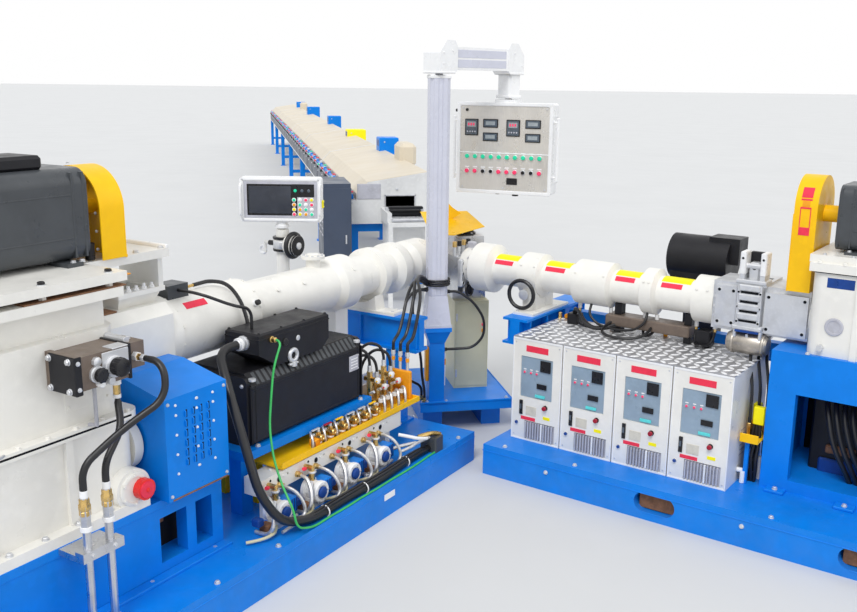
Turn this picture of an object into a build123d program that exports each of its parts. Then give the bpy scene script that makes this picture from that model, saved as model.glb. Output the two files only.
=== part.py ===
from build123d import *
import os
from math import tan, radians, hypot, pi

os.makedirs("parts", exist_ok=True)

# Frame: millimetres, +Z up, origin on the floor where the two barrel axes cross,
# +Y along the curing tunnel, +X to the right seen from the extruders.

# Overall layout
HALF_ANGLE = 43.0          # each barrel lies this far to its side of -Y
AXIS_Z = 1000.0            # height of both barrel axes
SEAT = 0.3                 # gap between curved faces that rest on each other
BASE_RAIL = 90.0           # rails of both floor frames
DECK = 12.0                # deck plate of both floor frames
TURN_GAP = 6.0             # between a turning piece and its fixed neighbour
PIN_R = 22.0               # pivot pins of the arm, the control box and the operator panel
PIN_LEN = 55.0
PIN_GAP = 0.3

# Left extruder: stations measured back from the crossing point along its barrel
L_NOSE = 0.0
L_NOSE_END = 270.0
L_FLANGE_1 = 325.0
L_FLANGE_1_END = 420.0
L_FLANGE_2 = 560.0
L_FLANGE_2_END = 640.0
L_LUG = 850.0
L_LUG_END = 980.0
L_JACKET = 1665.0
L_FEED = 2240.0
L_GEAR = 2640.0
L_GEAR_LEN = 1060.0
L_R_NOSE = 138.0
L_R_FLANGE = 150.0
L_R_NECK = 105.0
L_R_FRONT = 125.0
L_R_JACKET = 152.0
L_FEED_HALF = 165.0
L_THROAT_RISE = 50.0
L_FLANGE_THICK = 20.0
L_MOUTH_LEN = 150.0        # feed mouth along the barrel
L_MOUTH_WIDTH = 120.0
L_BASE_START = 560.0
L_BASE_TOP = 170.0
L_BASE_INNER = 700.0
L_BASE_OUTER = 520.0
L_STAND_HALF = 450.0
L_GEAR_BOTTOM = 485.0
L_GEAR_SPLIT = 860.0
L_GEAR_TOP = 1200.0
L_GEAR_HALF = 400.0
L_RISER = 110.0            # hollow riser on the gearbox, below the motor slabs
L_SLAB = 35.0
L_SLAB_GAP = 20.0
L_SLAB_HALF = 400.0
L_BEAM_START = 590.0
L_BEAM_WIDTH = 120.0
L_BEAM_TOP = 800.0
L_BEAM_HEIGHT = 190.0
L_BEAM_INNER = 400.0
L_BEAM_OUTER = 360.0

# Left extruder: drive motor below the barrel, its table, the tray and the water set
L_MOTOR_START = 1215.0
L_MOTOR_LEN = 840.0
L_MOTOR_INNER = 400.0
L_MOTOR_WIDTH = 400.0
L_MOTOR_BOTTOM = 500.0
L_MOTOR_HEIGHT = 330.0
L_TABLE_THICK = 40.0
L_BOX_START = 1470.0
L_BOX_LEN = 495.0
L_BOX_OUTER = 190.0
L_BOX_INNER = 388.0
L_BOX_HEIGHT = 165.0
L_TRAY_START = 840.0
L_TRAY_LEN = 1130.0
L_TRAY_OUTER = 60.0
L_TRAY_INNER = 510.0
L_TRAY_Z = 395.0
L_TRAY_THICK = 10.0
L_MANIFOLD_START = 1010.0
L_MANIFOLD_LEN = 1090.0
L_MANIFOLD_OUTER = 400.0
L_MANIFOLD_INNER = 500.0
L_MANIFOLD_Z = 305.0
L_MANIFOLD_HEIGHT = 80.0
L_COVER_START = 2290.0
L_COVER_LEN = 330.0
L_COVER_OUTER = 175.0
L_COVER_INNER = 500.0
L_COVER_LOW = 900.0
L_COVER_HIGH = 955.0
COVER_WALL = 4.0

# Right extruder: the same kind of stations along its own barrel
R_ADAPTER = 335.0
R_FLANGE_1 = 405.0
R_FLANGE_1_END = 541.0
R_JACKET_2 = 734.0
R_JACKET_2_END = 887.0
R_JACKET_3 = 1080.0
R_JACKET_3_END = 1319.0
R_JACKET_4 = 1484.0
R_JACKET_4_END = 1581.0
R_JACKET_5 = 1775.0
R_FEED = 1900.0
R_GEAR = 2400.0
R_GEAR_LEN = 750.0
R_R_FLANGE = 144.0
R_R_PIPE = 90.0
R_R_JACKET = 124.0
R_BASE_START = 880.0
R_BASE_TOP = 171.0
R_BASE_INNER = 640.0
R_BASE_OUTER = 480.0
R_STAND_START = 2260.0
R_STAND_HALF = 280.0
R_GEAR_BOTTOM = 865.0
R_GEAR_TOP = 1300.0
R_GEAR_HALF = 250.0
R_PLATE = 35.0
R_FEED_HALF = 115.0
R_FEED_BOTTOM = 885.0
R_FEED_TOP = 1130.0
R_LUG_TOP = 1292.0
R_BEAM_START = 775.0
R_BEAM_WIDTH = 155.0
R_BEAM_TOP = 800.0
R_BEAM_HEIGHT = 150.0
UNIT_START = 941.0
UNIT_PITCH = 304.0
UNIT_WIDTH = 298.0
UNIT_FRONT = 453.0
UNIT_DEPTH = 531.0
UNIT_HEIGHT = 575.0

# Crosshead, its cabinet and the platform under both
PLATFORM_TOP = 200.0
PLATFORM_THICK = 60.0
PLATFORM_LEFT = -100.0
CABINET_LEFT = 160.0
CABINET_RIGHT = 375.0
CABINET_FRONT = -200.0
CABINET_BACK = 150.0
HEAD_BOTTOM = 760.0
HEAD_TOP = 1150.0
HEAD_FRONT = 200.0         # face of the head towards the tunnel
DIE_X = 330.0
DIE_LEN = 110.0
DIE_R = 80.0
DIE_BORE_R = 20.0
DIE_BORE_DEPTH = 60.0
GUARD_Z = 1178.0           # sloping guard sheet over the head
GUARD_FRONT = -70.0
GUARD_SLOPE = 13.7

# Pendant control station
PENDANT_X = 0.0
PENDANT_Y = -405.0
PENDANT_POST = 92.0
PENDANT_FOOT_Z = 670.0
PENDANT_FLARE = 185.0
COLUMN = 112.0
ARM_BOTTOM = 2125.0
ARM_TOP = 2306.0
ARM_REACH = 617.0
ARM_YAW = 35.0
DROP = 105.0
BOX_WIDTH = 600.0
BOX_HEIGHT = 548.0
BOX_DEPTH = 150.0
BOX_TOP = 1960.0
BOX_COLLAR = 20.0
BOX_YAW = -32.0

# Operator panel behind the left barrel
PANEL_U = 850.0
PANEL_V = -420.0
PANEL_POST_R = 37.0
PANEL_WIDTH = 460.0
PANEL_HEIGHT = 250.0
PANEL_DEPTH = 80.0
PANEL_BOTTOM = 1298.0
PANEL_NECK = 40.0
PANEL_YAW = -11.6

# Curing tunnel
BAYS = 6
BAY = 3750.0
TUNNEL_Y = 2950.0
TUNNEL_LEFT = -75.0
TUNNEL_RIGHT = 700.0
HOOD_Z = 1000.0
HOOD_EDGE = 60.0
HOOD_CHAMFER = 105.0
HOOD_RISE = 90.0
BODY_HEIGHT = 220.0
LEG = 80.0
FOOT_THICK = 12.0
FOOT_OVER = 20.0
JOINT_GAP = 1.0
LINING = 60.0              # insulated wall of trough and hoods
END_PLATE = 10.0
BODY_FLANGE = 60.0         # trough rim beyond the hood on each side
BELT_THICK = 20.0
MOUTH_LEFT = 195.0
MOUTH_RIGHT = 465.0
MOUTH_BOTTOM = 875.0
MOUTH_TOP = 1035.0
ENTRY_LEFT = 150.0
ENTRY_RIGHT = 520.0
ENTRY_Y = 2480.0
ENTRY_Z = 855.0
GUIDE_R = 42.0

LEFT = Location((0, 0, 0), (0, 0, 270 - HALF_ANGLE))
RIGHT = Location((0, 0, 0), (0, 0, HALF_ANGLE - 90))


def block(x0, x1, y0, y1, z0, z1):
    return Pos((x0 + x1) / 2, (y0 + y1) / 2, (z0 + z1) / 2) * Box(x1 - x0, y1 - y0, z1 - z0)


def round_face(r, sides):
    return RegularPolygon(r, sides) if sides else Circle(r)


def rod_x(x0, x1, y, z, r, sides=0):
    return Pos(x0, y, z) * Rot(0, 90, 0) * extrude(round_face(r, sides), x1 - x0)


def rod_y(y0, y1, x, z, r, sides=0):
    return Pos(x, y0, z) * Rot(-90, 0, 0) * extrude(round_face(r, sides), y1 - y0)


def rod_z(z0, z1, x, y, r, sides=0):
    return Pos(x, y, z0) * extrude(round_face(r, sides), z1 - z0)


def turned(points, z):
    """Solid of revolution about the line y = 0 at height z, from (x, radius) pairs."""
    outline = [(points[0][0], 0)] + points + [(points[-1][0], 0)]
    face = Plane.XZ * make_face(Polyline(*outline, close=True))
    return Pos(0, 0, z) * revolve(face, Axis.X)


def plate_y(points, y0, y1):
    """Flat profile of (x, z) points, extruded from y0 to y1."""
    face = make_face(Polyline(*points, close=True))
    return Pos(0, y0, 0) * extrude(Plane.XZ * face, -(y1 - y0))


def plate_x(points, x0, x1):
    """Flat profile of (y, z) points, extruded from x0 to x1."""
    face = make_face(Polyline(*points, close=True))
    return Pos(x0, 0, 0) * extrude(Plane.YZ * face, x1 - x0)


def arch(x0, x1, y, z0, spring, r):
    """Upright plate with a half-round top of radius r above the spring line."""
    return block(x0, x1, y - r, y + r, z0, spring) + rod_x(x0, x1, y, spring, r)


def rounded(x0, x1, y0, y1, z0, z1, r, axis=Axis.Z):
    return fillet(block(x0, x1, y0, y1, z0, z1).edges().filter_by(axis), r)


def girder(x0, x1, z0, z1, y0, y1, flange, web):
    """I-section beam that runs along y."""
    m = (x0 + x1) / 2
    return plate_y([
        (x0, z0), (x1, z0), (x1, z0 + flange), (m + web / 2, z0 + flange), (m + web / 2, z1 - flange),
        (x1, z1 - flange), (x1, z1), (x0, z1), (x0, z1 - flange), (m - web / 2, z1 - flange),
        (m - web / 2, z0 + flange), (x0, z0 + flange),
    ], y0, y1)


def tube(name, points, r):
    """Cable or hose of radius r: straight runs joined by tangent arcs."""
    corners = [Vector(*p) for p in points]
    runs = [b - a for a, b in zip(corners, corners[1:])]
    radii = []
    for a, b in zip(runs, runs[1:]):
        half = radians(a.get_angle(b)) / 2
        radii.append(min(0.45 * min(a.length, b.length) / tan(half), 2000.0))
    path = FilletPolyline(*corners, radius=radii)
    solid = sweep(Plane(origin=path @ 0, z_dir=path % 0) * Circle(r), path=path)
    fill = solid.volume / (pi * r * r * path.length)
    print(name, "length", round(path.length), "diameter", round(2 * r), "tightest", round(min(radii)),
          "fill", round(fill, 3))
    return solid


def save(name, pieces, where=None):
    pieces = pieces if isinstance(pieces, list) else [pieces]
    solids = [s for p in pieces for s in p.solids()]
    shape = solids[0] if len(solids) == 1 else Compound(solids)
    if where is not None:
        shape = where * shape
    export_step(shape, f"parts/{name}.step")


def world(where, x, y):
    point = (where * Pos(x, y, 0)).position
    return point.X, point.Y


def floor_frame(x0, x1, y0, y1, top):
    """Four rails and three cross rails under one deck plate."""
    frame = block(x0, x1, y0, y1, 0, top)
    pocket = (x1 - x0 - 5 * BASE_RAIL) / 4
    for i in range(4):
        px = x0 + BASE_RAIL + i * (pocket + BASE_RAIL)
        frame -= block(px, px + pocket, y0 + BASE_RAIL, y1 - BASE_RAIL, -1, top - DECK)
    return frame


# Left extruder: floor frame and gearbox stand
L_END = L_GEAR + L_GEAR_LEN
save("left_base_frame", floor_frame(L_BASE_START, L_END + 60, -L_BASE_OUTER, L_BASE_INNER, L_BASE_TOP), LEFT)

stand = block(L_COVER_START, L_END + 20, -L_STAND_HALF, L_STAND_HALF, L_BASE_TOP, L_GEAR_BOTTOM)
stand -= block(L_COVER_START + 60, L_END - 40, -L_STAND_HALF + 60, L_STAND_HALF - 60,
               L_BASE_TOP + 50, L_GEAR_BOTTOM - 50)
for start, length in ((200, 140), (60, 90)):
    stand -= block(L_COVER_START + start, L_COVER_START + start + length, -L_STAND_HALF - 1, L_STAND_HALF + 1,
                   L_BASE_TOP + 50, L_GEAR_BOTTOM - 75)
save("left_gearbox_stand", stand, LEFT)

# Left gearbox: split casting with foot, ribs, bearing covers and the barrel flange
L_CASE = L_GEAR + 30
gear = rounded(L_CASE, L_END, -L_GEAR_HALF, L_GEAR_HALF, L_GEAR_BOTTOM, L_GEAR_SPLIT, 70)
gear += rounded(L_CASE + 20, L_END - 30, -L_GEAR_HALF + 25, L_GEAR_HALF - 25, L_GEAR_SPLIT, L_GEAR_TOP, 90)
gear += block(L_CASE, L_END, -L_STAND_HALF, L_STAND_HALF, L_GEAR_BOTTOM, L_GEAR_BOTTOM + 40)
gear += rounded(L_CASE - 10, L_END + 10, -L_GEAR_HALF - 25, L_GEAR_HALF + 25,
                L_GEAR_SPLIT - 15, L_GEAR_SPLIT + 15, 60)
for x in (L_CASE + 300, L_CASE + 650):
    gear += block(x, x + 30, -L_GEAR_HALF - 18, L_GEAR_HALF + 18, L_GEAR_BOTTOM + 39, L_GEAR_SPLIT - 14)
gear += rod_x(L_GEAR, L_CASE + 30, 0, AXIS_Z, L_FEED_HALF + 25)
gear += rod_x(L_GEAR - 10, L_CASE + 1, L_COVER_OUTER + 100, L_GEAR_SPLIT - 160, 110)
L_BOSS_Z = L_GEAR_BOTTOM + 90
gear += rod_y(L_GEAR_HALF - 1, L_GEAR_HALF + 45, L_CASE + 70, L_BOSS_Z, 80)
save("left_gearbox", gear, LEFT)
save("left_drain_knob", rod_y(L_GEAR_HALF + 45, L_GEAR_HALF + 80, L_CASE + 38, L_BOSS_Z - 4, 42, 16), LEFT)

# Left feed section: chamfered housing, throat and mouth flange, bored as one
L_MOUTH_U = L_FEED + 120
L_THROAT_Z = AXIS_Z + L_FEED_HALF
L_MOUTH_Z = L_THROAT_Z + L_THROAT_RISE + L_FLANGE_THICK
feed = block(L_FEED, L_GEAR, -L_FEED_HALF, L_FEED_HALF, AXIS_Z - L_FEED_HALF, L_THROAT_Z)
feed = chamfer(feed.edges().filter_by(Axis.X), 45)
feed += loft([
    Pos(L_MOUTH_U, 0, L_THROAT_Z) * Rectangle(L_MOUTH_LEN + 40, L_MOUTH_WIDTH + 40),
    Pos(L_MOUTH_U, 0, L_THROAT_Z + L_THROAT_RISE) * Rectangle(L_MOUTH_LEN + 70, L_MOUTH_WIDTH + 90),
])
feed += block(L_MOUTH_U - L_MOUTH_LEN / 2 - 48, L_MOUTH_U + L_MOUTH_LEN / 2 + 48, -L_MOUTH_WIDTH, L_MOUTH_WIDTH,
              L_THROAT_Z + L_THROAT_RISE, L_MOUTH_Z)
feed -= block(L_MOUTH_U - L_MOUTH_LEN / 2, L_MOUTH_U + L_MOUTH_LEN / 2, -L_MOUTH_WIDTH / 2, L_MOUTH_WIDTH / 2,
              AXIS_Z, L_MOUTH_Z + 1)
save("left_feed_section", feed, LEFT)

# Motor plate: riser on the gearbox, two slabs on studs, and a bracket that reaches over the feed mouth
L_RISER_Z = L_GEAR_TOP + L_RISER
L_SLAB_2 = L_RISER_Z + L_SLAB + L_SLAB_GAP
UP_Z = L_SLAB_2 + L_SLAB
riser = block(L_CASE + 60, L_END - 80, -L_SLAB_HALF + 70, L_SLAB_HALF - 70, L_GEAR_TOP, L_RISER_Z)
riser -= block(L_CASE + 74, L_END - 94, -L_SLAB_HALF + 84, L_SLAB_HALF - 84, L_GEAR_TOP - 1, L_RISER_Z + 1)
riser += block(L_CASE + 20, L_END - 40, -L_SLAB_HALF, L_SLAB_HALF, L_RISER_Z, L_RISER_Z + L_SLAB)
riser += block(L_CASE, L_END - 40, -L_SLAB_HALF, L_SLAB_HALF, L_SLAB_2, UP_Z)
for i in range(4):
    for y in (-L_SLAB_HALF + 30, L_SLAB_HALF - 30):
        riser += rod_z(L_RISER_Z + L_SLAB - 1, L_SLAB_2 + 1, L_CASE + 60 + i * 280, y, 14, 6)
L_REACH = L_MOUTH_U - L_MOUTH_LEN / 2 - 40
riser += block(L_REACH, L_CASE + 1, -L_FEED_HALF, L_FEED_HALF, L_SLAB_2, UP_Z)
riser += block(L_REACH, L_REACH + 25, -L_MOUTH_WIDTH, L_MOUTH_WIDTH, L_MOUTH_Z, L_SLAB_2 + 1)
riser += block(L_CASE + 20, L_CASE + 34, -L_FEED_HALF, L_FEED_HALF, L_RISER_Z, L_SLAB_2 + 1)
save("left_motor_plate", riser, LEFT)

# Motor above the left gearbox and the arched guard of its belt
L_UP_R = 172.0
L_UP_AXIS = UP_Z + L_UP_R + 15
upper = rounded(L_GEAR, L_GEAR + 600, -L_UP_R, L_UP_R, L_UP_AXIS - L_UP_R, L_UP_AXIS + L_UP_R, 60, Axis.X)
upper += rod_x(L_GEAR + 599, L_GEAR + 640, 0, L_UP_AXIS, L_UP_R - 25)
upper += rod_x(L_GEAR + 639, L_GEAR + 760, 0, L_UP_AXIS, L_UP_R - 5)
for x in (L_GEAR + 60, L_GEAR + 480):
    upper += block(x, x + 70, -L_UP_R - 30, L_UP_R + 30, UP_Z, L_UP_AXIS - L_UP_R + 1)
save("left_upper_motor", upper, LEFT)

L_GUARD_END = L_GEAR - 50
L_GUARD_START = L_GUARD_END - 115
guard = arch(L_GUARD_START, L_GUARD_END, 12, UP_Z, UP_Z + 190, 165)
guard -= arch(L_GUARD_START + 5, L_GUARD_END + 1, 12, UP_Z - 1, UP_Z + 190, 160)
guard += rod_x(L_GUARD_START + 4, L_GEAR, 0, L_UP_AXIS, 30)
save("left_belt_guard", guard, LEFT)

# Left barrel, turned as one: nose housing, two flanges, lug ring, front pipe, rear jacket
barrel = turned([
    (L_NOSE, 95), (L_NOSE + 45, L_R_NOSE - 8), (L_NOSE + 75, L_R_NOSE), (L_NOSE_END - 35, L_R_NOSE),
    (L_NOSE_END, L_R_NECK), (L_FLANGE_1, L_R_NECK), (L_FLANGE_1 + 12, L_R_FLANGE - 4),
    (L_FLANGE_1 + 30, L_R_FLANGE), (L_FLANGE_1_END, L_R_FLANGE), (L_FLANGE_1_END + 25, L_R_NECK),
    (L_FLANGE_2, L_R_NECK), (L_FLANGE_2 + 12, L_R_FLANGE), (L_FLANGE_2_END - 12, L_R_FLANGE),
    (L_FLANGE_2_END, L_R_NECK + 10), (L_LUG - 40, L_R_NECK + 10), (L_LUG, L_R_FLANGE),
    (L_LUG_END, L_R_FLANGE), (L_LUG_END + 40, L_R_FRONT), (L_JACKET, L_R_FRONT), (L_JACKET, L_R_JACKET - 8),
    (L_JACKET + 8, L_R_JACKET), (L_FEED - 60, L_R_JACKET), (L_FEED - 60, L_R_JACKET + 12),
    (L_FEED, L_R_JACKET + 12),
], AXIS_Z)
barrel += rod_z(AXIS_Z, AXIS_Z + L_R_FRONT + 55, L_LUG_END + 120, 0, 38)
barrel += rod_z(AXIS_Z + L_R_FRONT + 40, AXIS_Z + L_R_FRONT + 56, L_LUG_END + 120, 0, 62)
save("left_barrel", barrel, LEFT)

# Cast foot under the second flange, on the cross beam, and pedestal under the lug ring
foot = loft([
    Pos(L_BEAM_START + L_BEAM_WIDTH / 2, 0, L_BEAM_TOP + 15) * Rectangle(90, 240),
    Pos(L_BEAM_START + L_BEAM_WIDTH / 2, 0, AXIS_Z) * Rectangle(60, 190),
])
foot -= rod_x(L_BEAM_START - 60, L_LUG, 0, AXIS_Z, L_R_FLANGE + SEAT)
foot += block(L_BEAM_START + 5, L_BEAM_START + L_BEAM_WIDTH - 5, -250, 250, L_BEAM_TOP, L_BEAM_TOP + 15)
save("left_barrel_foot", foot, LEFT)

pedestal = block(L_LUG + 10, L_LUG_END - 10, -90, 45, L_BASE_TOP, AXIS_Z - 60)
pedestal += block(L_LUG - 20, L_LUG_END + 20, -110, 55, L_BASE_TOP, L_BASE_TOP + 15)
pedestal -= rod_x(L_LUG - 30, L_LUG_END + 30, 0, AXIS_Z, L_R_FLANGE + SEAT)
save("left_barrel_pedestal", pedestal, LEFT)

L_BEAM_BOTTOM = L_BEAM_TOP - L_BEAM_HEIGHT
beam = girder(L_BEAM_START, L_BEAM_START + L_BEAM_WIDTH, L_BEAM_BOTTOM, L_BEAM_TOP, -L_BEAM_OUTER,
              L_BEAM_INNER, 16, 50)
for y in (-L_BEAM_OUTER + 10, L_BEAM_INNER - 210):
    beam += block(L_BEAM_START + 15, L_BEAM_START + 105, y, y + 90, L_BASE_TOP, L_BEAM_BOTTOM + 1)
    beam += block(L_BEAM_START - 15, L_BEAM_START + 135, y - 25, y + 115, L_BASE_TOP, L_BASE_TOP + 12)
save("left_cross_beam", beam, LEFT)

# Motor table, finned square motor with end shields, and its terminal box
L_TABLE_Z = L_MOTOR_BOTTOM - L_TABLE_THICK
L_MOTOR_END = L_MOTOR_START + L_MOTOR_LEN
L_MOTOR_TOP = L_MOTOR_BOTTOM + L_MOTOR_HEIGHT
L_MOTOR_OUTER = L_MOTOR_INNER - L_MOTOR_WIDTH
table = block(L_MOTOR_START - 40, L_MOTOR_END + 60, L_MOTOR_OUTER - 60, L_MOTOR_INNER + 30,
              L_TABLE_Z, L_MOTOR_BOTTOM)
for x in (L_MOTOR_START, L_MOTOR_END - 60):
    table += block(x, x + 70, -40, 30, L_BASE_TOP, L_TABLE_Z + 1)
    foot_z = L_TRAY_Z + L_TRAY_THICK if x < L_TRAY_START + L_TRAY_LEN - 90 else L_BASE_TOP
    table += block(x, x + 70, L_MOTOR_INNER - 120, L_MOTOR_INNER - 50, foot_z, L_TABLE_Z + 1)
save("left_motor_table", table, LEFT)

motor = plate_x([
    (L_MOTOR_OUTER, L_MOTOR_BOTTOM + 20), (L_MOTOR_OUTER + 20, L_MOTOR_BOTTOM),
    (L_MOTOR_INNER - 20, L_MOTOR_BOTTOM),
    (L_MOTOR_INNER, L_MOTOR_BOTTOM + 20), (L_MOTOR_INNER, L_MOTOR_TOP - 55), (L_MOTOR_INNER - 45, L_MOTOR_TOP),
    (L_MOTOR_OUTER + 45, L_MOTOR_TOP), (L_MOTOR_OUTER, L_MOTOR_TOP - 55),
], L_MOTOR_START + 24, L_MOTOR_END - 24)
for x in (L_MOTOR_START, L_MOTOR_END - 25):
    motor += rounded(x, x + 25, L_MOTOR_OUTER + 10, L_MOTOR_INNER - 10, L_MOTOR_BOTTOM, L_MOTOR_TOP - 10,
                     30, Axis.X)
save("left_drive_motor", motor, LEFT)

L_BOX_END = L_BOX_START + L_BOX_LEN
L_BOX_TOP = L_MOTOR_TOP + L_BOX_HEIGHT
terminal = plate_y([
    (L_BOX_START, L_MOTOR_TOP + 45), (L_BOX_START + 60, L_MOTOR_TOP), (L_BOX_END - 120, L_MOTOR_TOP),
    (L_BOX_END, L_MOTOR_TOP + 70), (L_BOX_END, L_BOX_TOP), (L_BOX_START, L_BOX_TOP),
], L_BOX_OUTER, L_BOX_INNER)
terminal = chamfer(terminal.edges().group_by(Axis.Z)[-1], 8)
save("left_motor_terminal_box", terminal, LEFT)

# Junction boxes: one saddled on the rear jacket, one on the deck where the cables end
SENSOR_U = 2100.0
SENSOR_TOP = AXIS_Z + L_R_JACKET + 53
sensor = block(SENSOR_U - 60, SENSOR_U + 60, -50, 50, AXIS_Z + 90, SENSOR_TOP)
sensor -= rod_x(SENSOR_U - 70, SENSOR_U + 70, 0, AXIS_Z, L_R_JACKET + SEAT)
CABLE_END = 960.0
end_box = rounded(CABLE_END - 80, CABLE_END, 590, 690, L_BASE_TOP, L_BASE_TOP + 80, 10)
save("left_junction_boxes", [sensor, end_box], LEFT)

# Drip tray with its row of valves, water manifold and four circulation pumps
L_TRAY_END = L_TRAY_START + L_TRAY_LEN
L_TRAY_TOP = L_TRAY_Z + L_TRAY_THICK
tray = block(L_TRAY_START, L_TRAY_END, L_TRAY_OUTER, L_TRAY_INNER, L_TRAY_Z, L_TRAY_TOP)
tray += block(L_TRAY_START, L_TRAY_END, L_TRAY_INNER - 6, L_TRAY_INNER, L_TRAY_Z, L_TRAY_TOP + 18)
tray += block(L_TRAY_START, L_TRAY_START + 6, L_TRAY_OUTER, L_TRAY_INNER, L_TRAY_Z, L_TRAY_TOP + 18)
for x in (L_TRAY_START + 40, L_TRAY_END - 80):
    for y in (L_TRAY_OUTER + 20, L_TRAY_OUTER + 220):
        tray += block(x, x + 40, y, y + 40, L_BASE_TOP, L_TRAY_Z + 1)
save("left_drip_tray", tray, LEFT)

valves = []
for i in range(6):
    x = L_MOTOR_START - 20 + i * 92
    valve = rod_z(L_TRAY_TOP, L_TRAY_TOP + 62, x, L_MOTOR_INNER + 62, 13, 8)
    valve += rod_y(L_MOTOR_INNER + 36, L_MOTOR_INNER + 84, x, L_TRAY_TOP + 36, 15, 8)
    valve += rod_z(L_TRAY_TOP, L_TRAY_TOP + 8, x, L_MOTOR_INNER + 62, 22, 6)
    valves.append(valve)
save("left_valve_row", valves, LEFT)

cluster = block(L_TRAY_START + 40, L_TRAY_START + 300, L_TRAY_INNER - 190, L_TRAY_INNER - 90, L_TRAY_TOP,
                L_TRAY_TOP + 60)
for i in range(4):
    x = L_TRAY_START + 75 + i * 64
    cluster += rod_z(L_TRAY_TOP + 59, L_TRAY_TOP + 150 + 50 * (i % 2), x, L_TRAY_INNER - 140, 16, 8)
    cluster += rod_y(L_TRAY_INNER - 171, L_TRAY_INNER - 100, x, L_TRAY_TOP + 110 + 50 * (i % 2), 13, 8)
save("left_valve_cluster", cluster, LEFT)

manifold = block(L_MANIFOLD_START, L_MANIFOLD_START + L_MANIFOLD_LEN, L_MANIFOLD_OUTER, L_MANIFOLD_INNER,
                 L_MANIFOLD_Z, L_MANIFOLD_Z + L_MANIFOLD_HEIGHT)
for i in range(4):
    x = L_MANIFOLD_START + 190 + i * 262
    manifold -= rod_y(L_MANIFOLD_INNER - 25, L_MANIFOLD_INNER + 1, x, L_MANIFOLD_Z + 50, 12, 10)
    manifold -= rod_y(L_MANIFOLD_INNER - 25, L_MANIFOLD_INNER + 1, x - 62, L_MANIFOLD_Z + 56, 6, 8)
for x in (L_MANIFOLD_START + 60, L_MANIFOLD_START + L_MANIFOLD_LEN - 100):
    manifold += block(x, x + 40, L_MANIFOLD_OUTER + 30, L_MANIFOLD_INNER - 30, L_BASE_TOP, L_MANIFOLD_Z + 1)
save("left_water_manifold", manifold, LEFT)

L_PUMP_Z = L_BASE_TOP + 78
pumps = []
for i in range(4):
    x = L_MANIFOLD_START + 285 + i * 254
    pump = rod_y(L_MANIFOLD_INNER + 12, L_MANIFOLD_INNER + 80, x, L_PUMP_Z, 46, 16)
    pump += rod_y(L_MANIFOLD_INNER + 79, L_MANIFOLD_INNER + 96, x, L_PUMP_Z, 30, 12)
    pump += block(x - 96, x - 30, L_MANIFOLD_INNER + 18, L_MANIFOLD_INNER + 74, L_PUMP_Z - 32, L_PUMP_Z + 34)
    pump += block(x - 70, x + 40, L_MANIFOLD_INNER + 25, L_MANIFOLD_INNER + 70, L_BASE_TOP, L_PUMP_Z - 30)
    pumps.append(pump)
save("left_pumps", pumps, LEFT)

# Belt cover, hydraulic valve block and its riser pipes on the near side of the gearbox
cover = plate_x([
    (L_COVER_OUTER, L_GEAR_BOTTOM), (L_COVER_INNER, L_GEAR_BOTTOM), (L_COVER_INNER, L_COVER_LOW),
    (L_COVER_OUTER + 90, L_COVER_HIGH), (L_COVER_OUTER, L_COVER_HIGH),
], L_COVER_START, L_COVER_START + L_COVER_LEN)
cover -= plate_x([
    (L_COVER_OUTER + COVER_WALL, L_GEAR_BOTTOM - 1), (L_COVER_INNER - COVER_WALL, L_GEAR_BOTTOM - 1),
    (L_COVER_INNER - COVER_WALL, L_COVER_LOW - 3), (L_COVER_OUTER + 89, L_COVER_HIGH - COVER_WALL),
    (L_COVER_OUTER + COVER_WALL, L_COVER_HIGH - COVER_WALL),
], L_COVER_START + COVER_WALL, L_COVER_START + L_COVER_LEN - COVER_WALL)
save("left_belt_cover", cover, LEFT)

HYD_V = L_GEAR_HALF + 25
HYD_Z = 1045.0
hydraulic = block(L_CASE + 120, L_CASE + 330, L_GEAR_HALF - 25, HYD_V + 95, HYD_Z, HYD_Z + 120)
hydraulic += block(L_CASE + 330, L_CASE + 352, L_GEAR_HALF - 25, HYD_V + 105, HYD_Z - 10, HYD_Z + 128)
hydraulic += block(L_CASE + 30, L_CASE + 120, L_GEAR_HALF - 15, HYD_V + 75, HYD_Z + 20, HYD_Z + 115)
hydraulic += rod_y(HYD_V + 94, HYD_V + 150, L_CASE + 190, HYD_Z + 62, 30, 12)
hydraulic += rod_y(HYD_V + 94, HYD_V + 130, L_CASE + 262, HYD_Z + 48, 22, 12)
save("left_hydraulic_block", hydraulic, LEFT)

RISER_V = L_STAND_HALF + 110
RISER_Z = 690.0
RISER_U = L_CASE + 285
RISER_PITCH = 95.0
RISER_R = 15.0
risers = []
clamp = block(RISER_U - 40, RISER_U + 135, L_STAND_HALF, RISER_V - 16, 462, 484)
clamp += block(RISER_U - 40, RISER_U + 135, RISER_V - 17, RISER_V + 26, 462, 498)
for x in (RISER_U, RISER_U + RISER_PITCH):
    pipe = rod_z(L_BASE_TOP, RISER_Z, x, RISER_V, RISER_R, 12)
    pipe += rod_z(RISER_Z - 120, RISER_Z - 30, x, RISER_V, RISER_R + 4, 6)
    risers.append(pipe)
    clamp -= rod_z(400, 530, x, RISER_V, RISER_R + SEAT, 12)
save("left_riser_pipes", risers + [clamp], LEFT)

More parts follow.
